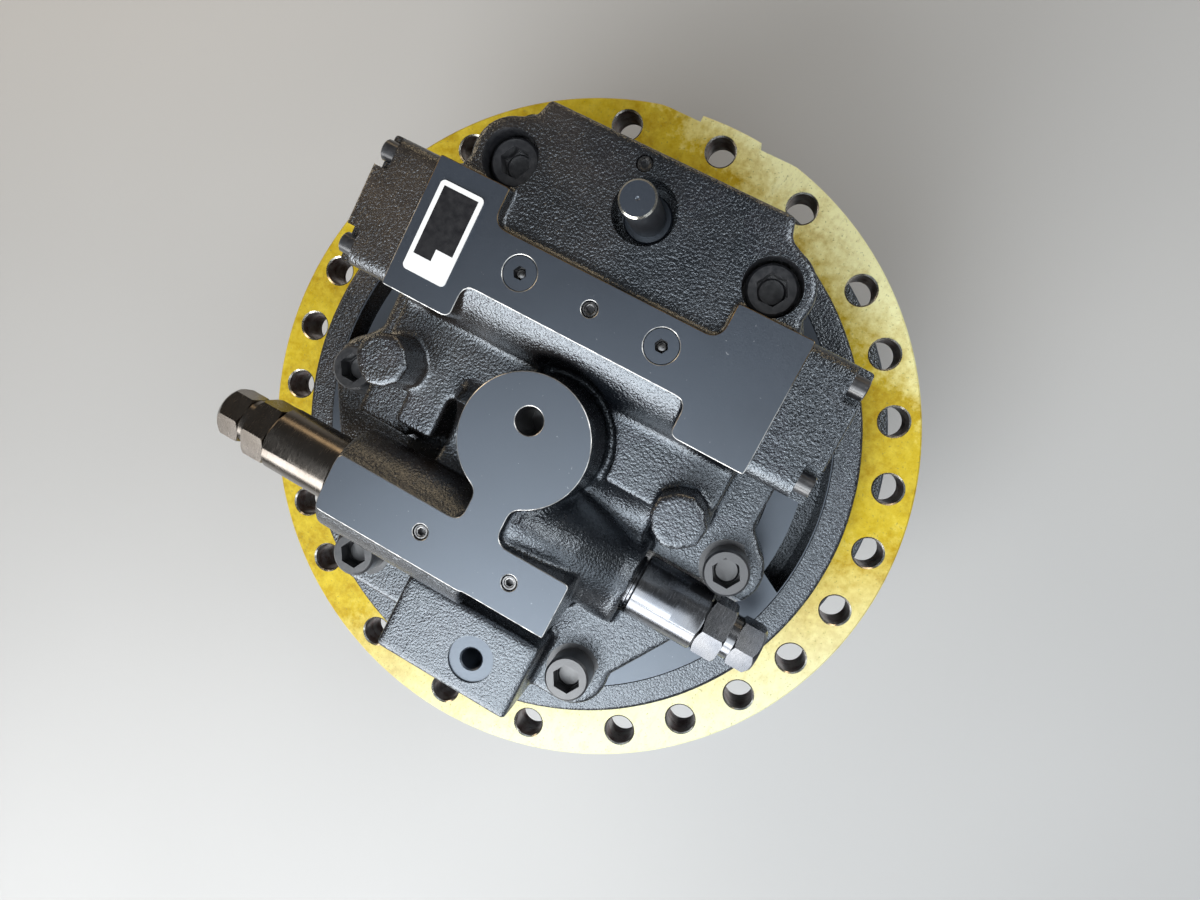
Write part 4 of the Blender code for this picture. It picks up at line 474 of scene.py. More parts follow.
def lofted(name, rings, *finishes):
    """Closes the skin between rings that have the same number of points, with a cap at each end."""
    count = len(rings[0])
    last = len(rings) - 1
    points = [point for ring in rings for point in ring]
    faces = [list(range(count)), list(range(last * count, (last + 1) * count))]
    for run in range(last):
        low, high = run * count, (run + 1) * count
        for index in range(count):
            after = (index + 1) % count
            faces.append([low + index, low + after, high + after, high + index])
    return mesh_piece(name, points, faces, *finishes)


def raised(name, outline, bottom, top, *finishes, top_outline=None):
    """A prism on a plan outline, tapered where the top has an outline of its own."""
    rings = [[(x, y, bottom) for x, y in outline], [(x, y, top) for x, y in top_outline or outline]]
    return lofted(name, rings, *finishes)


def block(name, low, high, *finishes):
    outline = [(low[0], low[1]), (high[0], low[1]), (high[0], high[1]), (low[0], high[1])]
    return raised(name, outline, low[2], high[2], *finishes)


def drills(name, places, radius, steps, bottom, top, finish):
    """Upright drills of one size, one for each place."""
    return [raised(name, circle(place, radius, steps), bottom, top, finish) for place in places]


def placed(piece, matrix):
    piece.data.transform(matrix)
    return turned_out(piece)


def painted(piece, finish):
    """Gives the whole piece one finish."""
    piece.data.materials.clear()
    piece.data.materials.append(finish)
    return piece


def shift(x, y, z=0):
    return Matrix.Translation((x, y, z))


def along_x(direction):
    """Turns what was made along +Z to lie along +X or -X."""
    return Matrix.Rotation(math.radians(90 * direction), 4, "Y")


def applied(piece):
    """Makes a piece's modifiers real."""
    graph = bpy.context.evaluated_depsgraph_get()
    mesh = bpy.data.meshes.new_from_object(piece.evaluated_get(graph))
    piece.modifiers.clear()
    piece.data = mesh
    return piece


def gathered(name, pieces):
    """Several pieces as one object, each keeping its finishes."""
    finishes = []
    work = bmesh.new()
    for piece in pieces:
        for material in piece.data.materials:
            if material not in finishes:
                finishes.append(material)
        start = len(work.faces)
        work.from_mesh(piece.data)
        work.faces.ensure_lookup_table()
        places = [finishes.index(material) for material in piece.data.materials]
        for face in work.faces[start:]:
            face.material_index = places[face.material_index] if places else 0
        bpy.data.objects.remove(piece)
    mesh = bpy.data.meshes.new(name)
    work.to_mesh(mesh)
    work.free()
    for material in finishes:
        mesh.materials.append(material)
    whole = bpy.data.objects.new(name, mesh)
    bpy.context.collection.objects.link(whole)
    return whole


def combined(piece, tool, operation="DIFFERENCE"):
    """Cuts a piece with a tool, or keeps what they share. Cut faces take the tool's finish."""
    modifier = piece.modifiers.new(operation, "BOOLEAN")
    modifier.operation = operation
    modifier.solver = "EXACT"
    modifier.material_mode = "TRANSFER"
    modifier.object = tool
    applied(piece)
    bpy.data.objects.remove(tool)
    return piece


def cast_skin(piece, grain, rounds):
    """Rounds every corner of a piece as a sand casting's are."""
    remesh = piece.modifiers.new("skin", "REMESH")
    remesh.mode = "VOXEL"
    remesh.voxel_size = grain
    remesh.use_smooth_shade = True
    soften = piece.modifiers.new("soften", "SMOOTH")
    soften.factor = 0.5
    soften.iterations = rounds
    return applied(piece)


def spread_copies(name, points, pattern, finish):
    """Geometry Nodes: one copy of a pattern piece on every point, as a plain mesh."""
    tree = bpy.data.node_groups.new(name, "GeometryNodeTree")
    sockets = {"Places": "Geometry", "Pattern": "Object", "Size": "Float", "Finish": "Material"}
    for label, kind in sockets.items():
        tree.interface.new_socket(label, in_out="INPUT", socket_type="NodeSocket" + kind)
    tree.interface.new_socket("Copies", in_out="OUTPUT", socket_type="NodeSocketGeometry")
    source = tree.nodes.new("NodeGroupInput")
    info = tree.nodes.new("GeometryNodeObjectInfo")
    copies = tree.nodes.new("GeometryNodeInstanceOnPoints")
    real = tree.nodes.new("GeometryNodeRealizeInstances")
    paint = tree.nodes.new("GeometryNodeSetMaterial")
    result = tree.nodes.new("NodeGroupOutput")
    for start, output, end, entry in (
            (source, "Places", copies, "Points"), (source, "Pattern", info, "Object"),
            (info, "Geometry", copies, "Instance"), (source, "Size", copies, "Scale"),
            (copies, "Instances", real, "Geometry"), (real, "Geometry", paint, "Geometry"),
            (source, "Finish", paint, "Material"), (paint, "Geometry", result, "Copies")):
        tree.links.new(start.outputs[output], end.inputs[entry])
    piece = mesh_piece(name, points, [])
    modifier = piece.modifiers.new(name, "NODES")
    modifier.node_group = tree
    for item, value in (("Pattern", pattern), ("Size", 1.0), ("Finish", finish)):
        modifier[tree.interface.items_tree[item].identifier] = value
    applied(piece)
    bpy.data.objects.remove(pattern)
    if not piece.data.materials:
        piece.data.materials.append(finish)
    return piece


# Frame ring and case

def ring_hole_angles():
    """Ten holes at each end of X and three at each end of Y."""
    side = [12 * (index + 0.5) for index in range(-5, 5)]
    return side + [72, 90, 108] + [180 + angle for angle in side] + [252, 270, 288]


def ring_hole_tools():
    """Drills with a countersink at the face, one for each hole of the ring."""
    wall = RING_HOLE_RADIUS
    start = RING_BOTTOM - 4 * MM
    profile = [(0, start), (wall, start), (wall, RING_FACE - 1.1 * MM),
               (wall + 1.1 * MM, RING_FACE), (wall + 4 * MM, RING_FACE + 3 * MM),
               (0, RING_FACE + 3 * MM)]
    drill = turned("ring_drill", profile, 40, DRILLED)
    places = hole_places(RING_HOLE_CIRCLE, ring_hole_angles())
    return spread_copies("ring_hole_tools", places, drill, DRILLED)


def ring_case():
    """Coated frame ring and painted case, turned round a core copied from the CAD node."""
    lip = 1.2 * MM
    outline = [
        (RING_CORE_RADIUS, RING_BOTTOM), (RING_RADIUS - lip, RING_BOTTOM),
        (RING_RADIUS, RING_BOTTOM + lip), (RING_RADIUS, RING_FACE - lip),
        (RING_RADIUS - lip, RING_FACE), (CASE_RADIUS + 0.6 * MM, RING_FACE),
        (CASE_RADIUS, RING_FACE + 0.5 * MM), (CASE_RADIUS - 1.6 * MM, CASE_TOP - 2 * MM),
        (CASE_RADIUS - 2.4 * MM, CASE_TOP - 0.6 * MM), (CASE_RADIUS - 4 * MM, CASE_TOP),
        (LAND_RADIUS + 0.6 * MM, CASE_TOP), (LAND_RADIUS, CASE_TOP - 0.5 * MM),
        (RING_CORE_RADIUS, CASE_TOP - 0.5 * MM)]
    shell = turned("frame_ring_and_case", outline, 288, COATING, CAST, MACHINED,
                   shares=[0, 0, 0, 0, 0, 1, 1, 1, 1, 1, 1, 2, 1])
    flats = []
    for side in (-1, 1):
        low, high = sorted((side * 23.5 * MM, side * 125 * MM))
        flats.append(block("flat", (low, 0.244, RING_BOTTOM - 4 * MM),
                           (high, 0.26, RING_FACE + 4 * MM), COATING))
    combined(shell, gathered("flats", flats))
    combined(shell, ring_hole_tools())
    combined(shell, kidney_tools())
    combined(shell, bolt_drills("case_drills"))
    paint_countersinks(shell)
    core = cad_core("motor_case", RING_CORE_RADIUS)
    return shaded(gathered("frame_ring_and_case", [shell, core]))


def paint_countersinks(shell):
    """Gives the sloping ring of each hole its bright finish."""
    shell.data.materials.append(CHAMFER)
    slot = len(shell.data.materials) - 1
    walls = [index for index, item in enumerate(shell.data.materials) if item == DRILLED]
    for face in shell.data.polygons:
        if face.material_index in walls and 0.3 < abs(face.normal.z) < 0.9:
            face.material_index = slot


def kidney_tools():
    """Cutters of the two long recesses in the top of the case."""
    tools = []
    for side in (-1, 1):
        start, end = (-9, 36) if side > 0 else (167, 188)
        inner_radius, outer_radius = (0.1705, 0.1868) if side > 0 else (0.1745, 0.1865)
        outer = arc((0, 0), outer_radius, start, end, 40)
        inner = arc((0, 0), inner_radius, end - 2, start + 2, 40)
        tools.append(raised("kidney", outer + inner, CASE_TOP - 48 * MM, CASE_TOP + 4 * MM, CAST))
    return gathered("kidneys", tools)


def bolt_drills(name):
    """Holes of the six flange bolts, through the flange and into the case."""
    tools = []
    for x, y, seat in BOLTS:
        tools += drills("drill", [(-x, y), (x, y)], 10 * MM + GAP, 24, RING_FACE - 6 * MM,
                        RING_FACE + seat + 4 * MM, OXIDE)
    return gathered(name, tools)


def cad_core(node, radius):
    """The inner part of a CAD node, copied so that a finer shell can go round it."""
    source = frame["nodes"][node]
    core = bpy.data.objects.new(node + "_core", source.data.copy())
    bpy.context.collection.objects.link(core)
    work = bmesh.new()
    work.from_mesh(core.data)
    bmesh.ops.remove_doubles(work, verts=work.verts, dist=1e-6)
    work.to_mesh(core.data)
    work.free()
    keep = raised("keep", circle((0, 0), radius, 32), 0, 0.4, CAST)
    return combined(painted(core, CAST), keep, "INTERSECT")


# Rear flange

def mirrored(right):
    """A plan outline whose left half is the mirror of its right half."""
    return right + [(-x, y) for x, y in reversed(right)]


def base_outline():
    """Foot of the flange, round the pads of its six bolts."""
    radius = BOLT_PAD_RADIUS
    right = arc(BOLTS[2][:2], radius, -90, 20, 18)
    right += arc(BOLTS[1][:2], radius, -40, 60, 18)
    right += [(0.145, 0.010), (0.145, SPOOL_Y)]
    right += arc(BOLTS[0][:2], radius, 0, 80, 14)
    right.append((0.078, 0.181))
    return mirrored(right)


def plate_outline():
    """Cast top plate with its two bolt corners."""
    radius = BOLT_PAD_RADIUS
    right = [(BLOCK_HALF - 4 * MM, BLOCK_HIGH_Y - 4 * MM)]
    right += arc(BOLTS[0][:2], radius, -20, 75, 20)
    right += [(0.082, 0.169), (0.078, 0.181)]
    return mirrored(right)


def valve_face_outline():
    """Milled face of the valve block, with the disc on its neck."""
    fillet = 8 * MM
    neck = 12 * MM
    reach = DISC_RADIUS + fillet
    upper = -math.sqrt(reach ** 2 - (neck + fillet) ** 2)
    lean = math.degrees(math.atan2(-upper, neck + fillet))
    lower = VALVE_HIGH_Y + fillet
    right = [(VALVE_RIGHT, VALVE_LOW_Y), (VALVE_RIGHT, VALVE_HIGH_Y)]
    right += arc((neck + fillet, lower), fillet, 270, 180, 10)
    right += arc((neck + fillet, upper), fillet, 180, 180 - lean, 10)
    right += arc((0, 0), DISC_RADIUS, -lean, 90, 40)[1:]
    left = arc((0, 0), DISC_RADIUS, 90, 180 + lean, 40)[1:-1]
    left += arc((-neck - fillet, upper), fillet, lean, 0, 10)
    left += arc((-neck - fillet, lower), fillet, 0, -90, 10)
    left += [(VALVE_LEFT, VALVE_HIGH_Y), (VALVE_LEFT, VALVE_LOW_Y)]
    return right + left


def spool_face_outline():
    """Milled face over the spool: a bar between two columns, with filleted inner corners."""
    inner = COLUMN_X
    right = [(BLOCK_HALF + 3 * MM, BLOCK_HIGH_Y), (inner, BLOCK_HIGH_Y)]
    right += arc((inner - 8 * MM, BAR_HIGH_Y + 8 * MM), 8 * MM, 0, -90, 10)
    left = [(-x, y) for x, y in reversed(right)]
    lower = arc((-inner + 7 * MM, BAR_LOW_Y - 7 * MM), 7 * MM, 90, 180, 10)
    lower += arc((-inner - 4 * MM, BLOCK_LOW_Y + 4 * MM), 4 * MM, 0, -90, 6)
    lower.append((-BLOCK_HALF - 3 * MM, BLOCK_LOW_Y))
    return right + left + list(reversed(lower)) + [(-x, y) for x, y in lower]


def sideways(name, section, start, end):
    """Extrudes a (y, rise) section along X."""
    ends = [[(x, y, RING_FACE + rise) for y, rise in section] for x in (start, end)]
    return lofted(name, ends, CAST)


def tube(name, radius, y, rise, start, end):
    """A round mass along X."""
    return sideways(name, circle((y, rise), radius, 64), start, end)


def upright(name, low_x, high_x, low_y, high_y, rise):
    """A block that stands on the foot of the casting."""
    low = (low_x, low_y, FLANGE_BOTTOM - 3 * MM)
    return block(name, low, (high_x, high_y, RING_FACE + rise), CAST)


def right_shoulder():
    """Round mass that falls from the neck of the milled face to the collar of the right valve."""
    shapes = ((0, 0.049, 0.034, 0.040, 0.0705), (0.020, 0.050, 0.034, 0.039, 0.0690),
              (0.040, 0.052, 0.033, 0.036, 0.0630), (0.055, 0.054, 0.032, 0.034, 0.0550),
              (0.070, 0.057, 0.031, 0.032, 0.0440), (0.082, 0.059, 0.031, 0.031, 0.0345),
              (0.089, 0.0596, 0.031, 0.031, 0.0310))
    rings = []
    for x, y, inner, outer, height in shapes:
        ring = []
        for step in range(33):
            turn = math.radians(180 * step / 32)
            reach = inner if step < 16 else outer
            ring.append((x, -y + reach * math.cos(turn),
                         RING_FACE + RIGHT_VALVE_RISE + height * math.sin(turn)))
        rings.append(ring)
    return lofted("right_shoulder", rings, CAST)


def casting_forms():
    """Masses of the casting that stand round the disc."""
    low = FLANGE_BOTTOM - 3 * MM
    valley = arc((-0.022, 0.111), 0.021, 0, -135, 20)
    saddle = arc((-0.030, 0.140), 0.030, -10, -150, 20)
    spool_section = [*arc((SPOOL_Y, SPOOL_RISE), SPOOL_CAST_RADIUS, 115, 236, 40),
                     (BAR_HIGH_Y, 0.070), (BAR_HIGH_Y, 0.149)]
    left_section = [(0.010, 0.060), (0.010, 0.118), *saddle, (-0.065, 0.060)]
    right_section = [(0.006, 0.060), (0.006, 0.118), *valley, (-0.045, 0.060)]
    valve_end = RIGHT_CAST_END + 3 * MM
    forms = [
        raised("foot", base_outline(), low, RING_FACE + SEAT_RISE, CAST),
        raised("top_plate", plate_outline(), low, PLATE, CAST),
        sideways("spool_casting", spool_section, -BLOCK_HALF, BLOCK_HALF),
        upright("spool_foot", -BLOCK_HALF, BLOCK_HALF, SPOOL_Y, BLOCK_HIGH_Y, SPOOL_RISE),
        right_shoulder(),
        upright("plate_foot", -BLOCK_HALF, BLOCK_HALF, SPOOL_Y, BLOCK_HIGH_Y, PLATE_RISE),
        upright("shelf", -BLOCK_HALF, BLOCK_HALF, -0.0035, SPOOL_Y, CAST_RISE),
        upright("left_shelf", -0.089, -0.062, -0.034, 0.001, CAST_RISE),
        sideways("left_web", left_section, -0.055, 0.002),
        sideways("right_web", right_section, 0.008, 0.085),
        upright("left_boss_foot", -0.1245, -0.085, -0.045, 0.002, 0.095),
        tube("right_valve_casting", 0.0310, RIGHT_VALVE_Y, RIGHT_VALVE_RISE, 0, valve_end),
        tube("right_valve_collar", 0.0320, RIGHT_VALVE_Y, RIGHT_VALVE_RISE, 0.072, valve_end),
        upright("drain_pad", -0.037, 0.062, -0.174, -0.119, PAD_RISE)]
    return gathered("castings", forms)


def face_forms():
    """Masses that reach the milled face, left taller by what the mill takes off, and the bosses."""
    over = 4 * MM
    low = FLANGE_BOTTOM - 3 * MM
    top = FACE + over
    forms = [
        raised("spool_face", spool_face_outline(), RING_FACE + SPOOL_RISE, top, CAST),
        raised("valve_face", valve_face_outline(), low, top, CAST),
        tube("left_valve_casting", 0.0348, LEFT_VALVE_Y, LEFT_VALVE_RISE, VALVE_LEFT - 3 * MM,
             0.006),
        upright("valve_block_foot", VALVE_LEFT + over, VALVE_RIGHT - over, VALVE_LOW_Y - over,
                VALVE_HIGH_Y - MM, LEFT_VALVE_RISE)]
    knobs = (1.03, 0.96, 1.01, 0.97, 1.04, 1.0, 0.95, 1.02, 0.98, 1.03)
    for side in (-1, 1):
        centre = side * BOSS_X
        rim = [(centre + BOSS_RADIUS * share * math.cos(math.radians(36 * turn + 11)),
                BOSS_Y + BOSS_RADIUS * share * math.sin(math.radians(36 * turn + 11)))
               for turn, share in enumerate(knobs)]
        foot = [(centre + (x - centre) * 1.15, BOSS_Y + (y - BOSS_Y) * 1.15) for x, y in rim]
        forms.append(raised("boss", foot, low, FACE - 0.3 * MM, CAST, top_outline=rim))
    return forms


def moat():
    """Channel round the upper right of the disc, flared towards the top."""
    low = [(0, 0)] + arc((0, 0), MOAT_RADIUS - 1.5 * MM, -14, 114, 40)
    high = [(0, 0)] + arc((0, 0), MOAT_RADIUS + 6 * MM, -14, 114, 40)
    return raised("moat", low, RING_FACE + 96 * MM, FACE + 6 * MM, CAST, top_outline=high)


def rear_flange():
    """The casting with its sand skin, its milled faces and everything that is bored into it."""
    body = cast_skin(casting_forms(), 1.8 * MM, 4)
    combined(body, moat())
    body = cast_skin(gathered("rear_flange_casting", [body, *face_forms()]), 1.7 * MM, 3)
    painted(body, CAST)
    wide = 0.3
    for low, high in ((FACE, FACE + 0.1), (FLANGE_BOTTOM - 0.1, FLANGE_BOTTOM)):
        combined(body, block("mill", (-wide, -wide, low), (wide, wide, high), MACHINED))
    for tool in flange_tools():
        combined(body, tool)
    break_edges(body)
    return shaded(body, 40)


def lying(tool, y, rise):
    """A tool made along +Z, laid along +X at its height."""
    return placed(tool, shift(0, y, RING_FACE + rise) @ along_x(1))


def flange_tools():
    """Everything that is bored into the casting, in groups that are cut one after another."""
    seats = []
    for x, y, seat in BOLTS:
        wall, room = (0.0172, 33 * MM) if seat > 0.1 else (0.0185, 12 * MM)
        seats += drills("seat", [(-x, y), (x, y)], wall, 64, RING_FACE + seat,
                        RING_FACE + seat + room, OXIDE)
    seats += drills("pin_seat", [PIN], 0.0192, 64, PLATE - PIN_DEPTH, PLATE + 4 * MM, CAST)
    ports = drills("port", [DISC_PORT], 0.0087, 48, FACE - 40 * MM, FACE + 4 * MM, OXIDE)
    for side in (-1, 1):
        ports += drills("plug", [(side * GAUGE_X, PLUG_Y)], 0.0105, 48, FACE - 11.3 * MM,
                        FACE + 4 * MM, MACHINED)
        ports += drills("plug", [(side * VALVE_PLUG[0], VALVE_PLUG[1])], 0.0050, 32, FACE - 8 * MM,
                        FACE + 4 * MM, MACHINED)
    ports += drills("plug", [(0, PLUG_Y)], 0.0050, 32, FACE - 8 * MM, FACE + 4 * MM, MACHINED)
    ports += drills("plug", [PLATE_PLUG], 0.0050, 32, PLATE - 8 * MM, PLATE + 4 * MM, CAST)
    drain = [(0, PAD - 30 * MM), (7 * MM, PAD - 30 * MM), (7 * MM, PAD - 2.5 * MM),
             (8 * MM, PAD - 1.5 * MM), (0.0155, PAD - 1.5 * MM), (0.0155, PAD + 6 * MM),
             (0, PAD + 6 * MM)]
    ports.append(placed(turned("drain", drain, 48, MACHINED), shift(*DRAIN)))
    ports += drills("shaft_end", [(0, 0)], 0.032, 48, FLANGE_BOTTOM - 4 * MM, 0.3492, GROUND)
    spool = raised("spool_bore", circle((0, 0), SPOOL_BORE_RADIUS, 48), -0.13, 0.13, GROUND)
    left = raised("valve_bore", circle((0, 0), VALVE_BORE_RADIUS, 48), VALVE_LEFT - 8 * MM,
                  VALVE_LEFT + 45 * MM, GROUND)
    steps = [(0, RIGHT_CAST_END - 45.3 * MM), (VALVE_BORE_RADIUS, RIGHT_CAST_END - 45.3 * MM),
             (VALVE_BORE_RADIUS, RIGHT_CAST_END - GAP), (0.0235, RIGHT_CAST_END - GAP),
             (0.0235, 0.25), (0, 0.25)]
    right = turned("valve_bore", steps, 48, GROUND)
    bores = [lying(spool, SPOOL_Y, SPOOL_RISE), lying(left, LEFT_VALVE_Y, LEFT_VALVE_RISE),
             lying(right, RIGHT_VALVE_Y, RIGHT_VALVE_RISE)]
    return [gathered("seats", seats), bolt_drills("flange_drills"), gathered("ports", ports),
            gathered("bores", bores), main_ports()]


def main_ports():
    """The two split flange ports with their bolt holes in the end of the top plate."""
    tools = []
    for side in (-1, 1):
        centre = (side * 0.038, RING_FACE + 82 * MM)
        tools += drills("port", [centre], 0.0125, 48, -0.20, -0.151, GROUND)
        bolts = [(centre[0] + across * 26.2 * MM, centre[1] + up * 52.4 * MM)
                 for across in (-0.5, 0.5) for up in (-0.5, 0.5)]
        tools += drills("bolt_hole", bolts, 0.005, 20, -0.20, -0.161, OXIDE)
    turn = Matrix.Rotation(math.radians(90), 4, "X")
    return placed(gathered("main_ports", tools), turn)


def break_edges(body):
    """Cuts a narrow chamfer round every milled face and gives it the worn edge finish."""
    body.data.materials.append(EDGE)
    edge_slot = len(body.data.materials) - 1
    milled = [index for index, item in enumerate(body.data.materials) if item == MACHINED]
    work = bmesh.new()
    work.from_mesh(body.data)
    top = [face for face in work.faces if face.material_index in milled
           and face.normal.z > 0.9 and abs(face.calc_center_median().z - FACE) < 0.5 * MM]
    rim = bmesh.ops.inset_region(work, faces=top, thickness=0.45 * MM, use_even_offset=True,
                                 use_boundary=True)["faces"]
    inner = {vert for face in top for vert in face.verts}
    for face in rim:
        face.material_index = edge_slot
    for vert in {vert for face in rim for vert in face.verts} - inner:
        vert.co.z = FACE - 0.25 * MM
    for vert in inner:
        vert.co.z = FACE
    work.to_mesh(body.data)
    work.free()


# Covers, valves, bolts and plugs

def spool_cover(side):
    """Round cornered cover over an end of the spool, notched for a screw at each corner."""
    name = f"spool_cover_{'left' if side < 0 else 'right'}_casting"
    inner = BLOCK_HALF + GAP
    outer = inner + COVER_LENGTH
    low = RING_FACE + 71.5 * MM
    high = FACE - 2 * MM
    edge = 9 * MM
    section = []
    for y, z, start in (
            (BLOCK_HIGH_Y - edge, high - edge, 0), (BLOCK_LOW_Y + edge, high - edge, 90),
            (BLOCK_LOW_Y + edge, low + edge, 180), (BLOCK_HIGH_Y - edge, low + edge, 270)):
        section += arc((y, z), edge, start, start + 90, 12)
    ends = sorted((side * (inner - 3 * MM), side * outer))
    solid = lofted(name, [[(x, y, z) for y, z in section] for x in ends], CAST)
    cover = painted(cast_skin(solid, 1.2 * MM, 6), CAST)
    near, far = sorted((side * (inner - 8 * MM), side * inner))
    joint_face = block("joint_face", (near, 0, 0.3), (far, 0.2, 0.5), MACHINED)
    hollows = []
    screws = []
    for y, y_in in ((BLOCK_HIGH_Y, -1), (BLOCK_LOW_Y, 1)):
        for z, z_in in ((high, -1), (low, 1)):
            x_low, x_high = sorted((side * (outer - 10 * MM), side * (outer + 4 * MM)))
            y_low, y_high = sorted((y - y_in * 4 * MM, y + y_in * 22 * MM))
            z_low, z_high = sorted((z - z_in * 4 * MM, z + z_in * 11 * MM))
            hollows.append(block("notch", (x_low, y_low, z_low), (x_high, y_high, z_high), CAST))
            screws.append((side * (outer - 10 * MM), y + y_in * 11 * MM, z + z_in * 6.9 * MM))
    chamber = raised("chamber", circle((0, 0), 0.024, 40), inner - 4 * MM, inner + 28 * MM, CAST)
    hollows.append(placed(chamber, shift(0, SPOOL_Y, RING_FACE + SPOOL_RISE) @ along_x(side)))
    combined(cover, joint_face)
    combined(cover, gathered("hollows", hollows))
    head = socket_screw("corner_screw", 6.5 * MM, 9.4 * MM, 3.6 * MM, 5 * MM)
    placed(head, along_x(side))
    heads = spread_copies(name + "_screws", screws, head, OXIDE)
    return shaded(gathered(name, [cover, heads]), 40)


def socket_screw(name, radius, height, socket, depth, shank=0.0, shank_length=0.0):
    """Head of a cap screw with a chamfered rim and a hexagon socket, standing on its seat."""
    rim = radius * 0.09
    profile = [(0, -shank_length), (shank, -shank_length), (shank, 0)] if shank else [(0, 0)]
    profile += [(radius, 0), (radius, height - rim), (radius - rim, height), (0, height)]
    head = turned(name, profile, 56, OXIDE)
    hexagon = raised("hexagon", circle((0, 0), socket, 6), height - depth, height + 4 * MM, OXIDE)
    combined(head, hexagon)
    if shank:
        floor = height - depth
        dome = [(0, floor - MM), (socket * 0.84, floor - MM), (socket * 0.84, floor + 0.4 * MM),
                (socket * 0.72, floor + 1.2 * MM), (0, floor + 0.8 * MM)]
        head = gathered(name, [head, turned("socket_floor", dome, 32, PLUG)])
    return head


def flange_bolts():
    """Six cap screws with their shanks. The two in the top plate are longer."""
    pieces = []
    for x, y, seat in BOLTS:
        places = [(side * x, y, RING_FACE + seat + GAP) for side in (-1, 1)]
        length = seat - SEAT_RISE + 75 * MM
        bolt = socket_screw("bolt", BOLT_HEAD_RADIUS, BOLT_HEAD_HEIGHT - GAP, 9.8 * MM, 12 * MM,
                            10 * MM, length)
        pieces.append(spread_copies("flange_bolt_heads", places, bolt, OXIDE))
    return shaded(gathered("flange_bolt_heads", pieces))


def along_axis(piece, y, rise, side, start):
    """Lays a piece made along +Z on a valve's axis, outwards from a distance from the middle."""
    return placed(piece, shift(side * start, y, RING_FACE + rise) @ along_x(side))


def relief_valve(side):
    """Round valve body with two wrench flats, a grooved collar and a stem, and its adjuster."""
    if side < 0:
        word, start, y, rise = "left", -VALVE_LEFT + GAP, LEFT_VALVE_Y, LEFT_VALVE_RISE
    else:
        word, start, y, rise = "right", RIGHT_CAST_END + GAP, RIGHT_VALVE_Y, RIGHT_VALVE_RISE
    radius = VALVE_RADIUS
    profile = [(0, -45 * MM), (16 * MM, -45 * MM), (16 * MM, GAP)]
    for ring in range(3):
        at = 0.3 + 1.5 * ring
        profile += in_mm((18.2, at), (18.8, at + 0.3), (18.8, at + 0.9), (18.2, at + 1.2))
    profile += [
        *in_mm((16.5, 4.8), (16.5, 6.2)), (radius - 1.2 * MM, 6.2 * MM), (radius, 7.4 * MM),
        (radius, VALVE_LENGTH - 1.4 * MM), (radius - 1.4 * MM, VALVE_LENGTH), (0, VALVE_LENGTH)]
    body = turned(f"relief_valve_{word}_body", profile, 96, VALVE)
    flats = []
    for sign in (-1, 1):
        low, high = sorted((sign * 20.2 * MM, sign * 26 * MM))
        flats.append(block("flat", (low, -0.03, 35 * MM), (high, 0.03, 60 * MM), VALVE))
    combined(body, gathered("flats", flats))
    adjuster = relief_adjuster(f"relief_adjuster_{word}_nut")
    for piece, twist, along in ((body, -6, start), (adjuster, -27, start + VALVE_LENGTH)):
        placed(piece, Matrix.Rotation(math.radians(twist * side), 4, "Z"))
        along_axis(piece, y, rise, side, along)
    return shaded(body), shaded(adjuster)


def hexagon_bar(name, corner_radius, start, end, taper):
    """Hexagon bar whose corners are turned off in a cone at both ends."""
    bar = raised(name, circle((0, 0), corner_radius, 6, 30), start, end, VALVE)
    drop = corner_radius * 0.134
    past = corner_radius + 0.1 * MM
    profile = [(0, start), (corner_radius - drop + 0.01 * MM, start), (past, start + drop * 0.6),
               (past, end - taper), (corner_radius - taper, end), (0, end)]
    return combined(bar, turned("cone", profile, 72, VALVE), "INTERSECT")


def relief_adjuster(name):
    """Locknut, neck and hexagon end of a relief valve, made along +Z."""
    nut = hexagon_bar("nut", 21.5 * MM, GAP, 17.3 * MM, 1.8 * MM)
    neck = raised("neck", circle((0, 0), 15 * MM, 64), 17.3 * MM, 23.3 * MM, VALVE)
    tip = hexagon_bar("tip", 17.5 * MM, 23.3 * MM, 40.3 * MM, 3.5 * MM)
    return gathered(name, [nut, neck, tip])


def small_plugs():
    """Four socket plugs, sunk flush with their faces."""
    profile = in_mm((0, -7.5), (4.7, -7.5), (4.7, -1.2), (4.1, -0.6), (3.3, -0.6), (2.9, -1.2),
                    (0, -1.6))
    pieces = []
    for x, y, top in ((0, PLUG_Y, FACE), (*VALVE_PLUG, FACE), (-VALVE_PLUG[0], VALVE_PLUG[1], FACE),
                      (*PLATE_PLUG, PLATE)):
        plug = turned("plug", profile, 32, PLUG)
        combined(plug, raised("socket", circle((0, 0), 2.5 * MM, 6), -5 * MM, 2 * MM, OXIDE))
        pieces.append(placed(plug, shift(x, y, top)))
    return shaded(gathered("small_socket_plugs", pieces))


def gauge_plug(side):
    """Plug in the same paint as its face; only its small socket shines."""
    name = f"gauge_plug_{'left' if side < 0 else 'right'}_face"
    profile = in_mm((0, -11), (10.2, -11), (10.2, -0.6), (9.9, -0.25), (0, -0.25))
    plug = turned(name, profile, 56, MACHINED)
    combined(plug, raised("socket", circle((0, 0), 4.2 * MM, 6), -6 * MM, 3 * MM, OXIDE))
    dome = in_mm((0, -7), (3.2, -7), (3.2, -5), (2.4, -3.6), (0, -3))
    plug = gathered(name, [plug, turned("socket_floor", dome, 24, PLUG)])
    return shaded(placed(plug, shift(side * GAUGE_X, PLUG_Y, FACE)))


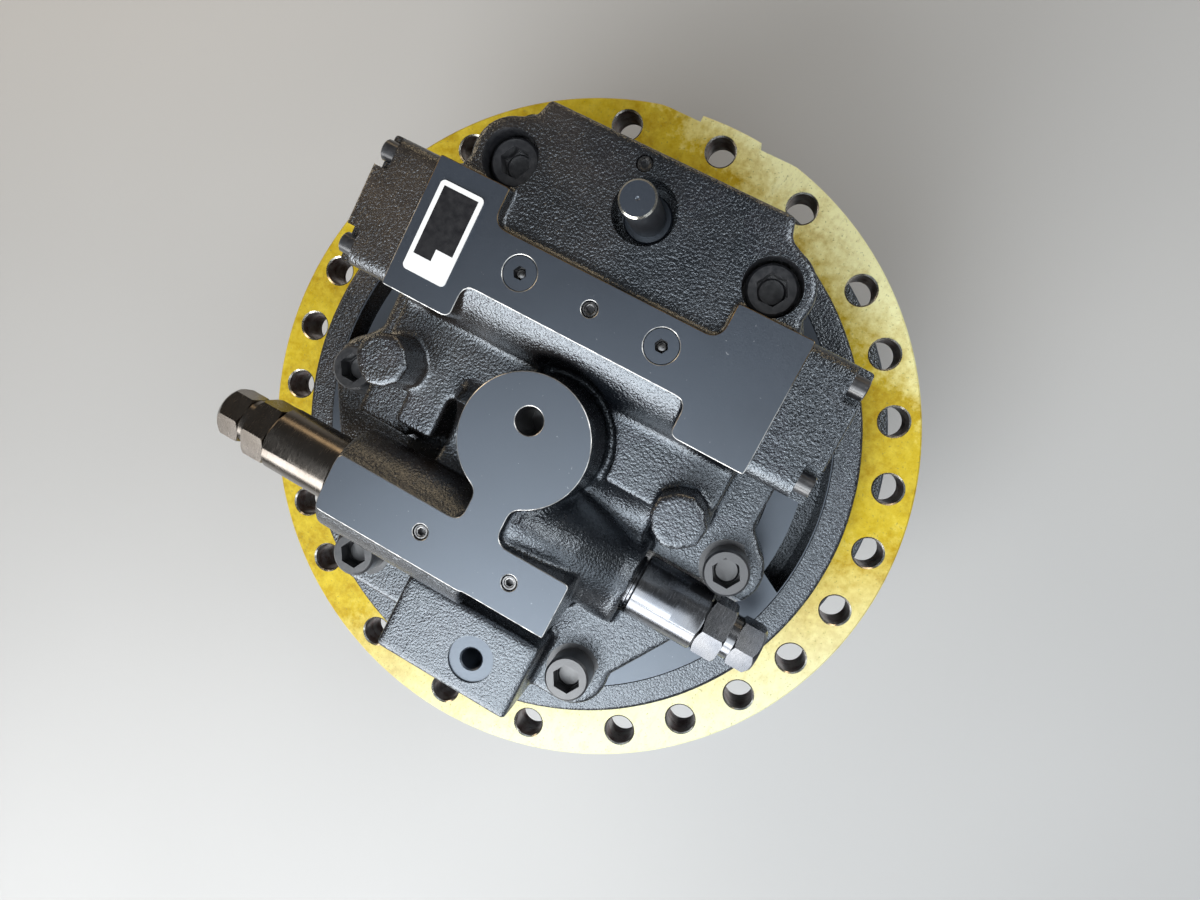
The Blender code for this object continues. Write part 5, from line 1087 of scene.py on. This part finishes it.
def blanking_pin():
    """Pin with a collar, standing in its seat in the top plate."""
    seat = PLATE - PIN_DEPTH + GAP
    top = RING_FACE + 171 * MM
    profile = [
        (0, seat), (14.5 * MM, seat), (14.5 * MM, seat + 4.2 * MM), (13.7 * MM, seat + 5 * MM),
        (10.7 * MM, seat + 5 * MM), (10.7 * MM, top - 1.1 * MM), (9.6 * MM, top), (1.2 * MM, top),
        (0, top - 0.8 * MM)]
    pin = turned("pin_with_collar", profile, 72, MACHINED, CHAMFER, OXIDE,
                 shares=[0, 0, 0, 0, 2, 1, 0, 0, 0])
    return shaded(placed(pin, shift(*PIN)))


def nameplate():
    """Bare pale plate with one dark field, rounded at its corners."""
    centre = (-0.0975, 0.0845)
    half = (14.5 * MM, 28 * MM)
    corner = 3 * MM
    outline = []
    for x, y, start in ((1, 1, 0), (-1, 1, 90), (-1, -1, 180), (1, -1, 270)):
        turn = (centre[0] + x * (half[0] - corner), centre[1] + y * (half[1] - corner))
        outline += arc(turn, corner, start, start + 90, 8)
    low = FACE + GAP
    plate = raised("bare_nameplate", outline, low, low + 0.75 * MM, FOIL)
    corners = [(-0.1090, 0.0670), (-0.0970, 0.0670), (-0.0970, 0.0745), (-0.0860, 0.0745),
               (-0.0860, 0.1095), (-0.1090, 0.1095)]
    field = raised("field", corners, low, low + 0.8 * MM, PRINT)
    return gathered("bare_nameplate", [plate, field])


# Gearbox housing

def gear_cover():
    """Dished cover that the drive stands on, with fourteen screws and the two oil plug seats."""
    profile = [
        (0, 0), (0.1185, 0), (0.120, 1.2 * MM), (0.1255, 5.4 * MM), (0.127, 6 * MM),
        (0.1655, 6 * MM), (0.167, 7 * MM), (0.1715, 13 * MM), (0.173, 14 * MM), (0.2015, 14 * MM),
        (GEARBOX_RADIUS, 17.5 * MM), (GEARBOX_RADIUS, 30 * MM), (0, 30 * MM)]
    cover = turned("gear_cover_casting", profile, 256, CAST)
    seats = [(-OIL_PLUG_X, 0), (OIL_PLUG_X, 0)]
    holes = drills("hole", seats, 9.3 * MM, 40, 2 * MM, 16.3 * MM, GROUND)
    combined(cover, gathered("holes", holes))
    head = turned("head", in_mm((0, -10), (0, -3.6), (9, -3.6), (9, -9.2), (8.2, -10)), 6, OXIDE)
    washer = in_mm((0, -1.4), (0, 1), (11.4, 1), (11.4, -0.8), (10.6, -1.4))
    flange = turned("washer", washer, 48, OXIDE)
    screw = gathered("cover_screw", [head, flange])
    places = hole_places(0.1885, [360 * (index + 0.5) / 14 for index in range(14)], 14 * MM)
    screws = spread_copies("cover_screws", places, screw, OXIDE)
    return shaded(gathered("gear_cover_casting", [cover, screws]))


def oil_plug(side):
    """Oil plug under the cover, with its socket facing down."""
    name = f"oil_plug_{1 if side < 0 else 2}_head"
    top = 6 * MM - GAP
    profile = [(0, top - 5 * MM), (11.2 * MM, top - 5 * MM), (12 * MM, top - 4.2 * MM),
               (12 * MM, top), (9 * MM, top), (9 * MM, 16 * MM), (0, 16 * MM)]
    plug = turned(name, profile, 56, CHAMFER)
    combined(plug, raised("socket", circle((0, 0), 6 * MM, 6), -4 * MM, top, OXIDE))
    return shaded(placed(plug, shift(side * OIL_PLUG_X, 0)))


def tooth_outline():
    """Involute spaces of the inner teeth, as one closed outline."""
    pitch = TEETH * MODULE / 2
    pressure = math.radians(PRESSURE_DEG)
    base = pitch * math.cos(pressure)
    start = math.tan(pressure) - pressure
    flank = []
    for share in (0, 0.5, 1):
        radius = pitch + MODULE * (1.2 - share * 2.05)
        roll = math.acos(min(1, base / radius))
        half = math.pi / (2 * TEETH) - 0.35 * MM / pitch - (start - (math.tan(roll) - roll))
        flank.append((radius, half))
    space = [(radius, -half) for radius, half in flank]
    space += [(radius, half) for radius, half in reversed(flank)]
    outline = []
    for tooth in range(TEETH):
        middle = math.radians(180 / TEETH) + 2 * math.pi * tooth / TEETH
        outline += [(radius * math.cos(middle + turn), radius * math.sin(middle + turn))
                    for radius, turn in space]
    return outline


def ring_gear():
    """Part of the gearbox wall, with the teeth of both stages inside."""
    low, high = RING_GEAR_LOW, RING_GEAR_HIGH
    edge = 0.7 * MM
    wall = GEARBOX_RADIUS
    profile = [(0, low), (wall - edge, low), (wall, low + edge), (wall, high - edge),
               (wall - edge, high), (0, high)]
    body = turned("ring_gear_housing", profile, 256, CAST)
    combined(body, raised("tooth_space", tooth_outline(), low - 4 * MM, high + 4 * MM, GROUND))
    return shaded(body)


def hub_housing():
    """Hub with the sprocket flange, its twenty holes and the seats of the bearings."""
    profile = [
        (0.175, 0.1463), (0.2043, 0.1463), (0.205, 0.147), (0.205, 0.1688), (0.2075, 0.1713),
        (0.2445, 0.1713), (0.246, 0.1728), (0.246, 0.1918), (0.2445, 0.1933), (0.2005, 0.1933),
        (0.1975, 0.1948), (0.196, 0.1978), (0.196, 0.2686), (0.194, 0.2706), (0.1743, 0.2706),
        (0.1743, 0.2563), (0.162, 0.2563), (0.162, 0.2243), (0.158, 0.2243), (0.158, 0.1903),
        (0.162, 0.1903), (0.162, 0.1603)]
    shares = [0, 0, 0, 0, 1, 1, 1, 1, 0, 0, 0, 0, 0, 0, 2, 2, 2, 2, 2, 2, 2, 2]
    housing = turned("hub_housing_casting", profile, 256, CAST, MACHINED, GROUND, shares=shares)
    low, high = SPROCKET_LOW, SPROCKET_HIGH
    drill = turned("drill", [(0, low - 4 * MM), (13.5 * MM, low - 4 * MM), (9 * MM, low + 0.8 * MM),
                             (9 * MM, high - 0.8 * MM), (13.5 * MM, high + 4 * MM),
                             (0, high + 4 * MM)], 32, DRILLED)
    places = hole_places(0.228, [18 * index for index in range(20)])
    combined(housing, spread_copies("sprocket_drills", places, drill, DRILLED))
    return shaded(housing)


# The whole drive

def dress_nodes():
    """Gives every CAD node that stays in view its own finish."""
    finishes = {
        GROUND: ("sun_gear", "planet_gear", "carrier", "bearing", "roller_cage", "drive_shaft",
                 "cylinder_block", "swash_plate", "tilt_piston", "shaft_bearing",
                 "separator_plate", "brake_piston", "counterbalance_spool"),
        BRONZE: ("piston_set", "valve_plate", "friction_disc"),
        SPRING: ("seal_ring", "brake_spring", "centring_spring")}
    for name, node in frame["nodes"].items():
        chosen = CAST
        for finish, starts in finishes.items():
            if name.startswith(starts):
                chosen = finish
        for slot in node.material_slots:
            slot.material = chosen


def body_of(node):
    bodies = frame["record"]["behaviour"]["bodies"]
    return next(body for body, nodes in bodies.items() if node in nodes)


def mount(piece, slot, *nodes):
    """A piece that takes the place of CAD nodes and rides on their body."""
    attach(piece, body_of(nodes[0]))
    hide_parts(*nodes)


def build():
    dress_nodes()
    mount(ring_case(), "ring", "motor_case")
    mount(rear_flange(), "cast", "rear_flange")
    mount(spool_cover(-1), "cast", "spool_cover_left")
    mount(spool_cover(1), "cast", "spool_cover_right")
    mount(flange_bolts(), "dark", *[f"flange_bolt_{index}" for index in range(1, 7)])
    for side, word in ((-1, "left"), (1, "right")):
        body, adjuster = relief_valve(side)
        mount(body, "dark", f"relief_valve_{word}")
        mount(adjuster, "dark", f"relief_adjuster_{word}")
        mount(gauge_plug(side), "dark", f"gauge_plug_{word}")
    mount(blanking_pin(), "dark", "blanking_pin")
    mount(nameplate(), "plate", "nameplate")
    plugs = small_plugs()
    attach(plugs, body_of("rear_flange"))
    mount(gear_cover(), "cast", "gear_cover")
    mount(oil_plug(-1), "dark", "oil_plug_1")
    mount(oil_plug(1), "dark", "oil_plug_2")
    mount(ring_gear(), "dark", "ring_gear")
    mount(hub_housing(), "cast", "hub_housing")


# Studio

def camera():
    """Looks down on the motor end as the photograph does."""
    data = bpy.data.cameras.new("camera")
    data.lens = 24
    data.sensor_width = 36
    eye = bpy.data.objects.new("camera", data)
    bpy.context.collection.objects.link(eye)
    right = (0.87154, 0.45733, -0.17685)
    up = (-0.47223, 0.87996, -0.05168)
    back = (0.13199, 0.12856, 0.98288)
    place = Matrix((right, up, back)).transposed().to_4x4()
    place.translation = (0.10238, 0.07530, RING_FACE + 0.59713)
    eye.matrix_world = place
    bpy.context.scene.camera = eye


def lamp(name, place, size, power, colour, aim=(0, 0, 0.42)):
    """A soft rectangular lamp, pointed at the drive."""
    data = bpy.data.lights.new(name, "AREA")
    data.shape = "RECTANGLE"
    data.size, data.size_y = size
    data.energy = power
    data.color = colour
    light = bpy.data.objects.new(name, data)
    bpy.context.collection.objects.link(light)
    light.location = place
    light.rotation_mode = "QUATERNION"
    light.rotation_quaternion = (Vector(aim) - Vector(place)).to_track_quat("-Z", "Y")


def studio():
    corners = [(-6, -6, 0), (6, -6, 0), (6, 6, 0), (-6, 6, 0)]
    mesh_piece("floor", corners, [(0, 1, 2, 3)], floor_paint())
    lamp("sky", (0.04, -0.60, 1.75), (1.15, 1.1), 10.5, (0.90, 0.95, 1.0))
    lamp("bright_sky", (0.05, -0.98, 1.72), (1.1, 0.5), 10, (0.95, 0.98, 1.0))
    lamp("low_window", (-0.30, -1.80, 1.17), (1.8, 1.1), 44, (0.98, 0.99, 1.0))
    lamp("right_sky", (1.25, -0.42, 1.42), (1.0, 1.0), 7, (0.86, 0.93, 1.0))
    lamp("corner_sky", (1.05, 0.95, 1.70), (0.9, 0.9), 14, (0.97, 0.99, 1.0), (0.1, 0.1, 0.3))
    lamp("warm_wall", (-1.5, 0.35, 0.95), (0.8, 0.6), 5, (1.0, 0.78, 0.52), (0, 0, 0.40))
    lamp("warm_far_wall", (-0.4, 1.80, 0.85), (1.4, 0.4), 5, (1.0, 0.74, 0.44))
    world = bpy.data.worlds.new("studio")
    world.use_nodes = True
    background = world.node_tree.nodes["Background"]
    background.inputs["Color"].default_value = (0.90, 0.92, 0.95, 1)
    background.inputs["Strength"].default_value = 0.09
    bpy.context.scene.world = world
    bpy.context.scene.view_settings.view_transform = "Standard"


build()
camera()
studio()
